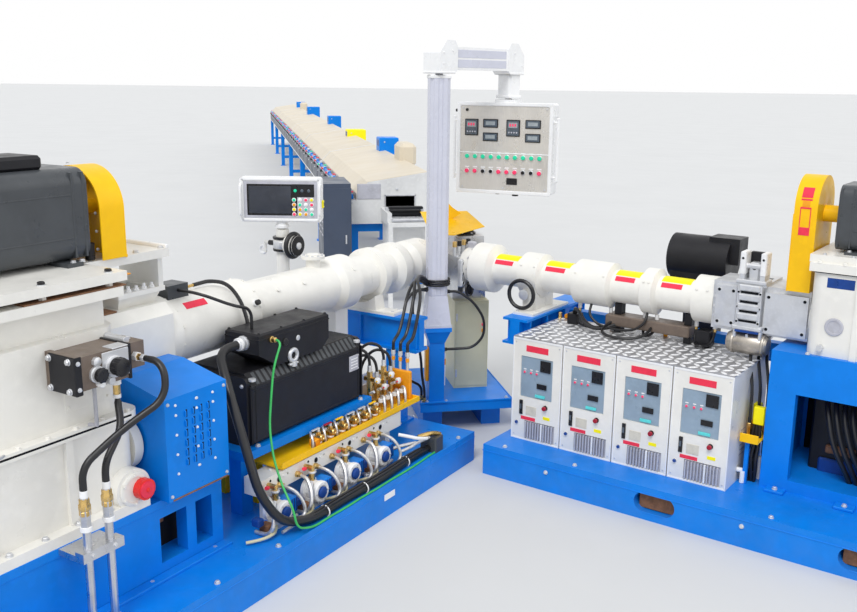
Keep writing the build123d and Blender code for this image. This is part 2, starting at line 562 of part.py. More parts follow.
HOSE_R = 8.5
hose_near = tube("riser hose 1", [
    (RISER_U, RISER_V, RISER_Z), (RISER_U, RISER_V, RISER_Z + 90), (RISER_U - 95, RISER_V - 15, RISER_Z + 190),
    (RISER_U - 130, RISER_V - 70, HYD_Z - 85), (RISER_U - 130, RISER_V - 70, HYD_Z),
], HOSE_R)
hose_far = tube("riser hose 2", [
    (RISER_U + RISER_PITCH, RISER_V, RISER_Z), (RISER_U + RISER_PITCH, RISER_V, RISER_Z + 110),
    (RISER_U - 55, RISER_V + 40, RISER_Z + 210), (RISER_U - 195, RISER_V + 108, RISER_Z + 295),
    (L_CASE + 75, RISER_V + 90, HYD_Z + 65), (L_CASE + 75, HYD_V + 75, HYD_Z + 65),
], HOSE_R)
jacket_lead = tube("jacket lead", [
    (SENSOR_U, 50, SENSOR_TOP - 25), (SENSOR_U, 180, SENSOR_TOP - 25), (SENSOR_U - 100, 280, SENSOR_TOP - 85),
    (L_BOX_END - 65, 290, L_BOX_TOP + 95), (L_BOX_END - 65, 290, L_BOX_TOP),
], 7)
save("left_hoses", [hose_near, hose_far, jacket_lead], LEFT)

BUNDLE_R = 20.0
BUNDLE_Z = L_BASE_TOP + BUNDLE_R + SEAT
save("left_cable_bundle", tube("cable bundle", [
    (L_BOX_END, 300, L_BOX_TOP - 48), (2120, 300, L_BOX_TOP - 48), (2215, 440, 820), (2240, 540, 620), (2235, 610, 400),
    (2150, 655, 250), (1950, 660, BUNDLE_Z), (1700, 655, BUNDLE_Z), (1400, 662, BUNDLE_Z),
    (1130, 640, BUNDLE_Z), (CABLE_END, 640, BUNDLE_Z),
], BUNDLE_R), LEFT)

WIRE_R = 5.0
WIRE_Z = L_BASE_TOP + WIRE_R + SEAT
wire = [
    (1885, L_BOX_INNER, 960), (1885, 448, 960), (1945, 450, 850), (1975, 460, 730), (2010, 475, 600),
    (2050, 530, 480), (2085, 605, 385), (2110, 686, 305), (2098, 695, 215),
]
for i in range(8):
    wire.append((1990 - 125 * i, 690 if i % 2 else 694, WIRE_Z))
wire.append((CABLE_END + 60, 683, WIRE_Z))
wire.append((CABLE_END, 683, WIRE_Z))
save("left_earth_wire", tube("earth wire", wire, WIRE_R), LEFT)

# Right extruder: floor frame with lifting slots, gearbox stand and gearbox
R_END = R_GEAR + R_GEAR_LEN
right_base = floor_frame(R_BASE_START, R_END + 60, -R_BASE_INNER, R_BASE_OUTER, R_BASE_TOP)
for x in (R_BASE_START + 990, R_BASE_START + 1950):
    right_base -= Pos(x, 0, 90) * Rot(90, 0, 0) * extrude(SlotOverall(210, 100), R_BASE_INNER + 10, both=True)
save("right_base_frame", right_base, RIGHT)

right_stand = block(R_STAND_START, R_END + 20, -R_STAND_HALF, R_STAND_HALF, R_BASE_TOP, R_GEAR_BOTTOM)
right_stand -= block(R_STAND_START + 50, R_END - 40, -R_STAND_HALF + 50, R_STAND_HALF - 50,
                     R_BASE_TOP + 60, R_GEAR_BOTTOM - 60)
right_stand -= block(R_STAND_START + 130, R_STAND_START + 480, -R_STAND_HALF - 1, R_STAND_HALF + 1,
                     R_BASE_TOP + 60, R_GEAR_BOTTOM - 200)
right_stand -= block(R_STAND_START + 560, R_END - 70, -R_STAND_HALF - 1, R_STAND_HALF + 1,
                     R_BASE_TOP + 60, R_GEAR_BOTTOM - 200)
save("right_gearbox_stand", right_stand, RIGHT)

right_gear = rounded(R_GEAR, R_END, -R_GEAR_HALF, R_GEAR_HALF, R_GEAR_BOTTOM, R_GEAR_TOP - 40, 50)
right_gear += block(R_GEAR - 12, R_END + 12, -R_GEAR_HALF - 12, R_GEAR_HALF + 12, R_GEAR_TOP - 40, R_GEAR_TOP)
right_gear += rod_x(R_GEAR - 25, R_GEAR + 1, 0, AXIS_Z, 128)
for x in (R_GEAR + 200, R_GEAR + 480):
    right_gear += block(x, x + 30, -R_GEAR_HALF - 12, R_GEAR_HALF + 12, R_GEAR_BOTTOM, R_GEAR_TOP - 39)
right_gear += block(R_GEAR - 20, R_END - 40, -R_GEAR_HALF + 10, R_GEAR_HALF - 10, R_GEAR_TOP - 1,
                    R_GEAR_TOP + R_PLATE)
save("right_gearbox", right_gear, RIGHT)

R_UP_Z = R_GEAR_TOP + R_PLATE
R_UP_R = 150.0
R_UP_AXIS = R_UP_Z + R_UP_R + 12
R_UP_START = R_GEAR + 60
right_upper = rounded(R_UP_START, R_GEAR + 560, -R_UP_R, R_UP_R, R_UP_AXIS - R_UP_R, R_UP_AXIS + R_UP_R,
                      50, Axis.X)
right_upper += rod_x(R_GEAR + 559, R_GEAR + 660, 0, R_UP_AXIS, R_UP_R - 8)
for x in (R_GEAR + 110, R_GEAR + 440):
    right_upper += block(x, x + 60, -R_UP_R - 22, R_UP_R + 22, R_UP_Z, R_UP_AXIS - R_UP_R + 1)
save("right_upper_motor", right_upper, RIGHT)

R_GUARD_END = R_GEAR - 30
R_GUARD_START = R_GUARD_END - 105
right_guard = arch(R_GUARD_START, R_GUARD_END, 0, R_FEED_TOP, R_UP_AXIS + 30, 150)
right_guard -= arch(R_GUARD_START + 5, R_GUARD_END - 5, 0, R_FEED_TOP - 1, R_UP_AXIS + 30, 145)
right_guard += rod_x(R_GUARD_END - 1, R_UP_START, 0, R_UP_AXIS, 40)
save("right_belt_guard", right_guard, RIGHT)

# Feed block with bolted plates, slotted clamp, hinge lugs and the bowl that hangs under it
R_MOUTH_U = R_FEED + 200
feed_block = block(R_FEED, R_GEAR - 25, -R_FEED_HALF, R_FEED_HALF, R_FEED_BOTTOM, R_FEED_TOP)
for x, w, z0, z1 in ((R_FEED + 20, 105, 905, 1112), (R_FEED + 265, 205, 900, 1105)):
    feed_block += block(x, x + w, -R_FEED_HALF - 22, R_FEED_HALF + 22, z0, z1)
clamp_block = block(R_FEED + 135, R_FEED + 255, -R_FEED_HALF - 48, -R_FEED_HALF + 1, R_FEED_BOTTOM + 40,
                    R_FEED_TOP + 5)
for i in range(4):
    z = R_FEED_BOTTOM + 62 + 48 * i
    clamp_block -= block(R_FEED + 150, R_FEED + 240, -R_FEED_HALF - 49, -R_FEED_HALF - 30, z, z + 20)
feed_block += clamp_block
feed_block += block(R_FEED + 120, R_FEED + 270, -R_FEED_HALF - 35, R_FEED_HALF, R_FEED_TOP - 1, R_FEED_TOP + 12)
for x in (R_FEED + 132, R_FEED + 232):
    feed_block += block(x, x + 26, -R_FEED_HALF - 30, -R_FEED_HALF + 45, R_FEED_TOP + 11, R_LUG_TOP)
feed_block += rod_x(R_FEED + 157, R_FEED + 233, -R_FEED_HALF, R_LUG_TOP - 70, 14, 10)
feed_block -= block(R_MOUTH_U - 50, R_MOUTH_U + 50, -45, 45, AXIS_Z + 20, R_FEED_TOP + 20)
save("right_feed_block", feed_block, RIGHT)

bowl = rod_y(-R_FEED_HALF - 40, R_FEED_HALF - 40, R_FEED + 196, R_FEED_BOTTOM - 1, 84)
bowl -= rod_y(-R_FEED_HALF - 36, R_FEED_HALF - 44, R_FEED + 196, R_FEED_BOTTOM - 1, 80)
bowl -= block(R_FEED, R_FEED + 400, -R_FEED_HALF - 60, R_FEED_HALF, R_FEED_BOTTOM - 45, R_FEED_BOTTOM + 200)
bowl += block(R_FEED + 190, R_FEED + 202, -R_FEED_HALF - 38, R_FEED_HALF - 42, R_FEED_BOTTOM - 46, R_FEED_BOTTOM)
bowl += block(R_FEED + 190, R_FEED + 202, -R_FEED_HALF - 38, R_FEED_HALF - 42, R_FEED_BOTTOM - 83,
              R_FEED_BOTTOM - 45)
save("right_feed_tray", bowl, RIGHT)

# Right barrel, turned as one: head flange, pipe and four chamfered jackets
right_profile = [
    (R_ADAPTER, 105), (R_FLANGE_1, 105), (R_FLANGE_1, R_R_FLANGE - 20), (R_FLANGE_1 + 16, R_R_FLANGE),
    (R_FLANGE_1_END, R_R_FLANGE), (R_FLANGE_1_END + 20, R_R_PIPE),
]
for start, end in ((R_JACKET_2, R_JACKET_2_END), (R_JACKET_3, R_JACKET_3_END), (R_JACKET_4, R_JACKET_4_END)):
    right_profile += [(start, R_R_PIPE), (start + 16, R_R_JACKET), (end - 16, R_R_JACKET), (end, R_R_PIPE)]
right_profile += [(R_JACKET_5, R_R_PIPE), (R_JACKET_5 + 10, R_R_JACKET), (R_FEED, R_R_JACKET)]
save("right_barrel", turned(right_profile, AXIS_Z), RIGHT)

R_SADDLE = R_BEAM_START + 10
R_SADDLE_TOP = R_BEAM_TOP + 14
right_saddle = block(R_SADDLE, R_JACKET_2_END - 20, -105, 105, R_BEAM_TOP, AXIS_Z - 20)
right_saddle -= rod_x(R_SADDLE - 1, R_JACKET_2_END, 0, AXIS_Z, R_R_JACKET + SEAT)
right_saddle += block(R_SADDLE, R_BEAM_START + R_BEAM_WIDTH - 15, -210, 210, R_BEAM_TOP, R_SADDLE_TOP)
save("right_barrel_saddle", right_saddle, RIGHT)

R_BEAM_END = R_BEAM_START + R_BEAM_WIDTH
R_BEAM_BOTTOM = R_BEAM_TOP - R_BEAM_HEIGHT
right_beam = girder(R_BEAM_START, R_BEAM_END, R_BEAM_BOTTOM, R_BEAM_TOP, -300, 430, 14, 60)
for y in (-290, 330):
    right_beam += block(R_BASE_START + 5, R_BEAM_END, y, y + 90, R_BASE_TOP, R_BEAM_BOTTOM + 1)
right_beam += block(R_BEAM_END - 1, R_STAND_START, 200, 260, R_BEAM_BOTTOM + 20, R_BEAM_TOP - 30)
save("right_cross_beam", right_beam, RIGHT)

right_motor = rod_x(1480, 1820, 400, 1140, 125)
right_motor += block(1500, 1800, 300, 500, 960, 1080)
right_motor += block(1700, 1870, 330, 470, 1130, 1272)
right_motor += block(1560, 1760, 385, 465, R_BASE_TOP, 961)
save("right_rear_motor", right_motor, RIGHT)

# Four mould temperature controllers and the chequer plate over them
UNIT_TOP = R_BASE_TOP + UNIT_HEIGHT
units = []
for i in range(4):
    x = UNIT_START + i * UNIT_PITCH
    unit = block(x, x + UNIT_WIDTH, -UNIT_FRONT, -UNIT_FRONT + UNIT_DEPTH, R_BASE_TOP, UNIT_TOP)
    unit -= block(x + 0.17 * UNIT_WIDTH, x + 0.82 * UNIT_WIDTH, -UNIT_FRONT - 1, -UNIT_FRONT + 6,
                  UNIT_TOP - 0.57 * UNIT_HEIGHT, UNIT_TOP - 0.17 * UNIT_HEIGHT)
    unit -= block(x + 0.28 * UNIT_WIDTH, x + 0.90 * UNIT_WIDTH, -UNIT_FRONT - 1, -UNIT_FRONT + 12,
                  UNIT_TOP - 0.98 * UNIT_HEIGHT, UNIT_TOP - 0.80 * UNIT_HEIGHT)
    units.append(unit)
save("temperature_units", units, RIGHT)
chequer = block(UNIT_START, UNIT_START + 3 * UNIT_PITCH + UNIT_WIDTH, -UNIT_FRONT, -UNIT_FRONT + UNIT_DEPTH,
                UNIT_TOP, UNIT_TOP + 5)
save("temperature_unit_top_plate", chequer, RIGHT)

# Crosshead between the two barrels, with its clamp, die, cabinet, platform and guard
a1 = world(LEFT, L_NOSE, -110)
a2 = world(LEFT, L_NOSE, 110)
b1 = world(RIGHT, R_ADAPTER, -110)
b2 = world(RIGHT, R_ADAPTER, 110)
outline = [a1, a2, b1, b2, (430, -20), (430, HEAD_FRONT), (120, HEAD_FRONT)]
HEAD_LOW = HEAD_BOTTOM + 80
HEAD_HIGH = HEAD_TOP - 90
head = Pos(0, 0, HEAD_LOW) * extrude(make_face(Polyline(*outline, close=True)), HEAD_HIGH - HEAD_LOW)
head += block(160, 370, -120, CABINET_BACK, HEAD_BOTTOM, HEAD_LOW + 1)
head += block(170, 360, -100, 120, HEAD_HIGH - 1, HEAD_TOP)
save("crosshead_body", head)
die = rod_y(HEAD_FRONT, HEAD_FRONT + DIE_LEN, DIE_X, AXIS_Z, DIE_R)
die -= rod_y(HEAD_FRONT + DIE_LEN - DIE_BORE_DEPTH, HEAD_FRONT + DIE_LEN + 1, DIE_X, AXIS_Z, DIE_BORE_R)
save("crosshead_die", die)

rise = tan(radians(GUARD_SLOPE))
shield = extrude(make_face(Polyline((20, 330), (20, -50), (160, -70), (385, 60), (330, 330), close=True)), 3)
shield = Pos(0, GUARD_FRONT, GUARD_Z) * Rot(GUARD_SLOPE, 0, 0) * shield
shield += plate_y([(104, 1390), (128, 1394), (160, 1345), (205, 1300), (262, 1262), (200, 1225), (120, 1225),
                   (116, 1300)], 120, 124)
for x, y in ((225, 0), (305, 60)):
    shield += rod_z(HEAD_TOP, GUARD_Z + (y - GUARD_FRONT) * rise + 2, x, y, 10, 8)
save("crosshead_guard", shield)

save("head_cabinet", block(CABINET_LEFT, CABINET_RIGHT, CABINET_FRONT, CABINET_BACK, PLATFORM_TOP, HEAD_BOTTOM))
PLATFORM_BOTTOM = PLATFORM_TOP - PLATFORM_THICK
platform = block(PLATFORM_LEFT, 470, -455, 260, PLATFORM_BOTTOM, PLATFORM_TOP)
for x0, x1 in ((-60, 60), (310, 430)):
    platform += block(x0, x1, -330, 200, 0, PLATFORM_BOTTOM + 1)
save("head_platform", platform)

# Pendant control station: blue post and bracket, column, swivelling arm and box
HALF_POST = PENDANT_POST / 2
bracket = block(PENDANT_X - HALF_POST, PENDANT_X + HALF_POST, PENDANT_Y - HALF_POST + 5, PENDANT_Y + HALF_POST,
                PLATFORM_TOP, PENDANT_FOOT_Z - 99)
bracket += loft([
    Pos(PENDANT_X, PENDANT_Y, PENDANT_FOOT_Z - 100) * Rectangle(PENDANT_POST, PENDANT_POST),
    Pos(PENDANT_X, PENDANT_Y, PENDANT_FOOT_Z - 25) * Rectangle(150, 150),
])
bracket += block(PENDANT_X - 80, PENDANT_X + 80, PENDANT_Y - 80, PENDANT_Y + 80, PENDANT_FOOT_Z - 26,
                 PENDANT_FOOT_Z)
save("pendant_bracket", bracket)

HALF = COLUMN / 2
PILLAR_CHAMFER = 16.0
column = block(PENDANT_X - 80, PENDANT_X + 80, PENDANT_Y - 80, PENDANT_Y + 80, PENDANT_FOOT_Z, PENDANT_FOOT_Z + 15)
column += loft([
    Pos(PENDANT_X, PENDANT_Y, PENDANT_FOOT_Z + 14) * Rectangle(150, 150),
    Pos(PENDANT_X, PENDANT_Y, PENDANT_FOOT_Z + PENDANT_FLARE) * Rectangle(COLUMN, COLUMN),
])
pillar = block(-HALF, HALF, -HALF, HALF, PENDANT_FOOT_Z + PENDANT_FLARE - 1, ARM_BOTTOM - TURN_GAP)
pillar = chamfer(pillar.edges().filter_by(Axis.Z), PILLAR_CHAMFER)
column += Pos(PENDANT_X, PENDANT_Y, 0) * pillar
column += rod_z(ARM_BOTTOM - TURN_GAP - 1, ARM_BOTTOM + PIN_LEN, PENDANT_X, PENDANT_Y, PIN_R)
save("pendant_column", column)

PENDANT = Location((PENDANT_X, PENDANT_Y, 0), (0, 0, ARM_YAW))
TUBE_BOTTOM = ARM_BOTTOM + 22
TUBE_TOP = ARM_TOP - 34
elbow_out = ARM_REACH + 62
arm = plate_y([
    (-62, ARM_BOTTOM), (62, ARM_BOTTOM), (84, TUBE_BOTTOM), (84, TUBE_TOP), (62, ARM_TOP), (-6, ARM_TOP),
    (-62, ARM_TOP - 68),
], -64, 64)
arm += block(83, ARM_REACH - 83, -54, 54, TUBE_BOTTOM, TUBE_TOP)
arm += plate_y([
    (ARM_REACH - 84, TUBE_BOTTOM), (ARM_REACH - 62, ARM_BOTTOM), (elbow_out, ARM_BOTTOM), (elbow_out, ARM_TOP - 68),
    (ARM_REACH + 6, ARM_TOP), (ARM_REACH - 62, ARM_TOP), (ARM_REACH - 84, TUBE_TOP),
], -62, 62)
DROP_BOTTOM = BOX_TOP + BOX_COLLAR + TURN_GAP
drop = block(ARM_REACH - DROP / 2, ARM_REACH + DROP / 2, -DROP / 2, DROP / 2, DROP_BOTTOM, ARM_BOTTOM + 1)
arm += chamfer(drop.edges().filter_by(Axis.Z), 14)
arm -= rod_z(ARM_BOTTOM - 1, ARM_BOTTOM + PIN_LEN + TURN_GAP, 0, 0, PIN_R + PIN_GAP)
arm -= rod_z(DROP_BOTTOM - 1, DROP_BOTTOM + PIN_LEN + TURN_GAP, ARM_REACH, 0, PIN_R + PIN_GAP)
save("pendant_arm", arm, PENDANT)

ex, ey = world(PENDANT, ARM_REACH, 0)
STATION = Location((ex, ey, 0), (0, 0, BOX_YAW))
BOX_HALF = BOX_WIDTH / 2
station = rounded(-BOX_HALF, BOX_HALF, -BOX_DEPTH / 2, BOX_DEPTH / 2, BOX_TOP - BOX_HEIGHT, BOX_TOP, 16, Axis.Y)
station -= rounded(-BOX_HALF + 20, BOX_HALF - 20, -BOX_DEPTH / 2 - 1, -BOX_DEPTH / 2 + 6,
                   BOX_TOP - BOX_HEIGHT + 20, BOX_TOP - 20, 8, Axis.Y)
station += block(-65, 65, -65, 65, BOX_TOP - 1, BOX_TOP + BOX_COLLAR)
station += rod_z(BOX_TOP + BOX_COLLAR - 1, DROP_BOTTOM + PIN_LEN, 0, 0, PIN_R)
for side in (-1, 1):
    x = side * (BOX_HALF + 28)
    x0, x1 = sorted((side * (BOX_HALF - 1), x))
    station += rod_z(BOX_TOP - BOX_HEIGHT + 90, BOX_TOP - 90, x, -BOX_DEPTH / 2 + 30, 9, 8)
    for z in (BOX_TOP - BOX_HEIGHT + 110, BOX_TOP - 110):
        station += rod_x(x0, x1, -BOX_DEPTH / 2 + 30, z, 7, 8)
save("control_box", station, STATION)

# Cables that loop round the foot of the pendant, and the hose and spare coil under the right barrel
POST_X = PENDANT_X + HALF_POST
head_cables = [
    tube("pendant loop right", [
        (PENDANT_X + HALF, PENDANT_Y - 15, 875), (130, PENDANT_Y - 15, 875), (220, PENDANT_Y - 32, 810),
        (285, PENDANT_Y - 40, 710), (285, PENDANT_Y - 40, 600), (220, PENDANT_Y - 35, 530),
        (130, PENDANT_Y - 10, 520), (POST_X, PENDANT_Y - 10, 520),
    ], 8),
    tube("pendant loop left", [
        (PENDANT_X - HALF, PENDANT_Y + 5, 885), (-130, PENDANT_Y + 5, 885), (-190, PENDANT_Y - 27, 825),
        (-215, PENDANT_Y - 45, 700), (-238, PENDANT_Y - 53, 520), (-225, PENDANT_Y - 45, 400),
        (-150, PENDANT_Y - 10, 330), (-82, PENDANT_Y + 15, 290), (-82, PENDANT_Y + 15, PLATFORM_TOP),
    ], 8),
    tube("pendant loop inner", [
        (PENDANT_X - HALF, PENDANT_Y - 25, 895), (-125, PENDANT_Y - 25, 895), (-160, PENDANT_Y - 85, 815),
        (-150, PENDANT_Y - 105, 680), (-110, PENDANT_Y - 100, 520), (-96, PENDANT_Y - 70, 380),
        (-72, PENDANT_Y - 30, 270), (-72, PENDANT_Y - 30, PLATFORM_TOP),
    ], 8),
]
RING_R = hypot(HALF, HALF - PILLAR_CHAMFER) + SEAT + 6
for z in (922, 936, 950):
    head_cables.append(Pos(PENDANT_X, PENDANT_Y, z) * Torus(RING_R, 6))
COIL_R = 80.0
coil = Pos(R_SADDLE + 15, -150, R_SADDLE_TOP + COIL_R + 6 + SEAT) * Rot(90, 0, 0) * Torus(COIL_R, 6)
head_cables.append(RIGHT * coil)
under = tube("barrel hose", [
    (1200, -60.3, 890.9), (1200, -88, 841), (1250, -95, 795), (1320, -98, 782), (1410, -98, 780),
    (1482, -95, 795), (1532, -88, 841), (1532, -60.3, 890.9),
], 7)
head_cables.append(RIGHT * under)
save("head_cables", head_cables)

# Operator panel on its post, with a hanger hook and a reel behind it
hx, hy = world(LEFT, PANEL_U, PANEL_V)
PANEL = Location((hx, hy, 0), (0, 0, PANEL_YAW))
POST_TOP = PANEL_BOTTOM - PANEL_NECK - TURN_GAP
panel_post = rod_z(L_BASE_TOP, POST_TOP, PANEL_U, PANEL_V, PANEL_POST_R)
panel_post += rod_z(L_BASE_TOP, L_BASE_TOP + 12, PANEL_U, PANEL_V, 80)
panel_post += rod_z(POST_TOP - 1, PANEL_BOTTOM + 15, PANEL_U, PANEL_V, PIN_R)
panel_post += rod_z(1135, 1195, PANEL_U, PANEL_V, PANEL_POST_R + 14)
panel_post += rod_y(PANEL_V + 45, PANEL_V + 112, PANEL_U, 1165, 58, 16)
panel_post += rod_y(PANEL_V - 134, PANEL_V - 45, PANEL_U, 1165, 9, 8)
panel_post += rod_z(1105, 1174, PANEL_U, PANEL_V - 130, 9, 8)
save("panel_post", panel_post, LEFT)
panel = block(-PANEL_WIDTH / 2, PANEL_WIDTH / 2, -PANEL_DEPTH / 2, PANEL_DEPTH / 2, PANEL_BOTTOM,
              PANEL_BOTTOM + PANEL_HEIGHT)
panel = fillet(panel.edges().filter_by(Axis.Y), 18)
panel -= block(-PANEL_WIDTH / 2 + 40, PANEL_WIDTH / 2 - 110, -PANEL_DEPTH / 2 - 1, -PANEL_DEPTH / 2 + 5,
               PANEL_BOTTOM + 35, PANEL_BOTTOM + PANEL_HEIGHT - 35)
panel += rod_z(PANEL_BOTTOM - PANEL_NECK, PANEL_BOTTOM + 1, 0, 0, 32)
panel -= rod_z(PANEL_BOTTOM - PANEL_NECK - 1, PANEL_BOTTOM + 15 + TURN_GAP, 0, 0, PIN_R + PIN_GAP)
save("operator_panel", panel, PANEL)

# Curing tunnel: hoods, trough, belt, end plates, portals, entry table with its guide roll
hood_outline = [
    (TUNNEL_LEFT, HOOD_Z), (TUNNEL_LEFT, HOOD_Z + HOOD_EDGE),
    (TUNNEL_LEFT + HOOD_CHAMFER, HOOD_Z + HOOD_EDGE + HOOD_CHAMFER),
    (TUNNEL_RIGHT - HOOD_CHAMFER, HOOD_Z + HOOD_EDGE + HOOD_CHAMFER + HOOD_RISE),
    (TUNNEL_RIGHT, HOOD_Z + HOOD_EDGE + HOOD_RISE), (TUNNEL_RIGHT, HOOD_Z),
]
TUNNEL_END = TUNNEL_Y + BAYS * BAY
inner_left = TUNNEL_LEFT + LINING
inner_right = TUNNEL_RIGHT - LINING
hoods = []
for i in range(BAYS):
    y0 = TUNNEL_Y + END_PLATE + i * BAY
    y1 = min(y0 + BAY, TUNNEL_END - END_PLATE) - JOINT_GAP
    hood = plate_y(hood_outline, y0, y1)
    hood -= block(inner_left, inner_right, y0 - 1, y1 + 1, HOOD_Z - 1, HOOD_Z + HOOD_EDGE)
    hoods.append(hood)
save("tunnel_hoods", hoods)
body_left = TUNNEL_LEFT - BODY_FLANGE
body_right = TUNNEL_RIGHT + BODY_FLANGE
trough = block(body_left, body_right, TUNNEL_Y + END_PLATE, TUNNEL_END - END_PLATE, HOOD_Z - BODY_HEIGHT, HOOD_Z)
trough -= block(inner_left, inner_right, TUNNEL_Y, TUNNEL_END, HOOD_Z - BODY_HEIGHT + LINING, HOOD_Z + 1)
save("tunnel_trough", trough)
BELT_BOTTOM = HOOD_Z - BODY_HEIGHT + LINING
belt = block(MOUTH_LEFT - 40, MOUTH_RIGHT + 40, TUNNEL_Y + END_PLATE + 20, TUNNEL_END - END_PLATE - 20,
             BELT_BOTTOM, BELT_BOTTOM + BELT_THICK)
save("tunnel_belt", belt)
ends = []
for y in (TUNNEL_Y, TUNNEL_END - END_PLATE):
    plate = plate_y([(body_left, HOOD_Z - BODY_HEIGHT), (body_left, HOOD_Z)] + hood_outline
                    + [(body_right, HOOD_Z), (body_right, HOOD_Z - BODY_HEIGHT)], y, y + END_PLATE)
    plate -= block(MOUTH_LEFT, MOUTH_RIGHT, y - 1, y + END_PLATE + 1, MOUTH_BOTTOM, MOUTH_TOP)
    ends.append(plate)
save("tunnel_end_plates", ends)
legs = []
for i in range(BAYS + 1):
    y = TUNNEL_Y + 60 + i * (BAY * BAYS - 120 - LEG) / BAYS
    portal = block(body_left, body_left + LEG, y, y + LEG, FOOT_THICK, HOOD_Z - BODY_HEIGHT)
    portal += block(body_right - LEG, body_right, y, y + LEG, FOOT_THICK, HOOD_Z - BODY_HEIGHT)
    portal += block(body_left, body_right, y, y + LEG, HOOD_Z - BODY_HEIGHT - LEG, HOOD_Z - BODY_HEIGHT)
    portal += block(body_left, body_right, y + 10, y + LEG - 10, 180, 240)
    for x in (body_left - FOOT_OVER, body_right - LEG - FOOT_OVER):
        portal += block(x, x + LEG + 2 * FOOT_OVER, y - FOOT_OVER, y + LEG + FOOT_OVER, 0, FOOT_THICK)
    legs.append(portal)
save("tunnel_legs", legs)
entry = block(ENTRY_LEFT, ENTRY_RIGHT, ENTRY_Y, TUNNEL_Y, ENTRY_Z - 40, ENTRY_Z)
for x in (ENTRY_LEFT, ENTRY_RIGHT - 40):
    entry += block(x, x + 40, ENTRY_Y, ENTRY_Y + 40, 0, ENTRY_Z - 39)
    entry += block(x, x + 40, ENTRY_Y + 60, TUNNEL_Y, ENTRY_Z - 1, ENTRY_Z + 75)
entry += block(ENTRY_LEFT + 10, ENTRY_RIGHT - 10, ENTRY_Y + 120, TUNNEL_Y - 50, ENTRY_Z - 280, ENTRY_Z - 39)
save("tunnel_entry_table", entry)
save("tunnel_entry_guide", rod_x(ENTRY_LEFT + 40, ENTRY_RIGHT - 40, ENTRY_Y + 260, ENTRY_Z + GUIDE_R + SEAT, GUIDE_R))
save("tunnel_side_cabinet", block(-400, body_left - FOOT_OVER, 2700, 3300, 0, 1180))
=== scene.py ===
import bmesh
import bpy
from itertools import product
from math import atan2, cos, pi, radians, sin
from mathutils import Matrix, Vector


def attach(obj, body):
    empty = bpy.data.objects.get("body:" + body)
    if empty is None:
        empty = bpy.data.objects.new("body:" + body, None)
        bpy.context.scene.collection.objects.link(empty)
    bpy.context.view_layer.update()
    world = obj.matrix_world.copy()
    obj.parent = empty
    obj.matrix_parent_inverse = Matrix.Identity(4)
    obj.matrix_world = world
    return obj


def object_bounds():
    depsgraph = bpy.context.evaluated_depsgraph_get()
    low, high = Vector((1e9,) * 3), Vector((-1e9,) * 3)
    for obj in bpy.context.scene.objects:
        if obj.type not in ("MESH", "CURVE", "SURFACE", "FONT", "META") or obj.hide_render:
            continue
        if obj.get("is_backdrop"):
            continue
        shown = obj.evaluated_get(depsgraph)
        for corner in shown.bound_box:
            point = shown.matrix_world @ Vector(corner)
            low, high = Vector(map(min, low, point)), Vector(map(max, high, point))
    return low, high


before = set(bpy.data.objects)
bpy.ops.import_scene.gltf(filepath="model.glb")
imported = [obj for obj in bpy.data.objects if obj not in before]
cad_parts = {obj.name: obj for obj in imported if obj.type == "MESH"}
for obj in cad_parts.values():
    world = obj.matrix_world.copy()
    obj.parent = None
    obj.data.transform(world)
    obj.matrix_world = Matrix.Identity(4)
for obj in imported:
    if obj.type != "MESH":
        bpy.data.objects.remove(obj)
cad_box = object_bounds()
X, Y, Z = Vector((1, 0, 0)), Vector((0, 1, 0)), Vector((0, 0, 1))
MM = 0.001


def frame_at(x, y, yaw):
    place = Matrix.Translation((x * MM, y * MM, 0))
    return place @ Matrix.Rotation(radians(yaw), 4, "Z") @ Matrix.Scale(MM, 4)


# Frames of the machine, in millimetres: the floor plan, along each barrel, and on the column and what swivels
PLAN = frame_at(0, 0, 0)
LEFT = frame_at(0, 0, 227)
RIGHT = frame_at(0, 0, -47)
COLUMN = frame_at(0, -405, 0)
ARM = frame_at(0, -405, 35)
STATION = frame_at(505.417, -51.103, -32)
PANEL = frame_at(-886.867, -335.211, -11.6)
AXIS = 1000  # height of both barrels' axes
M = {}


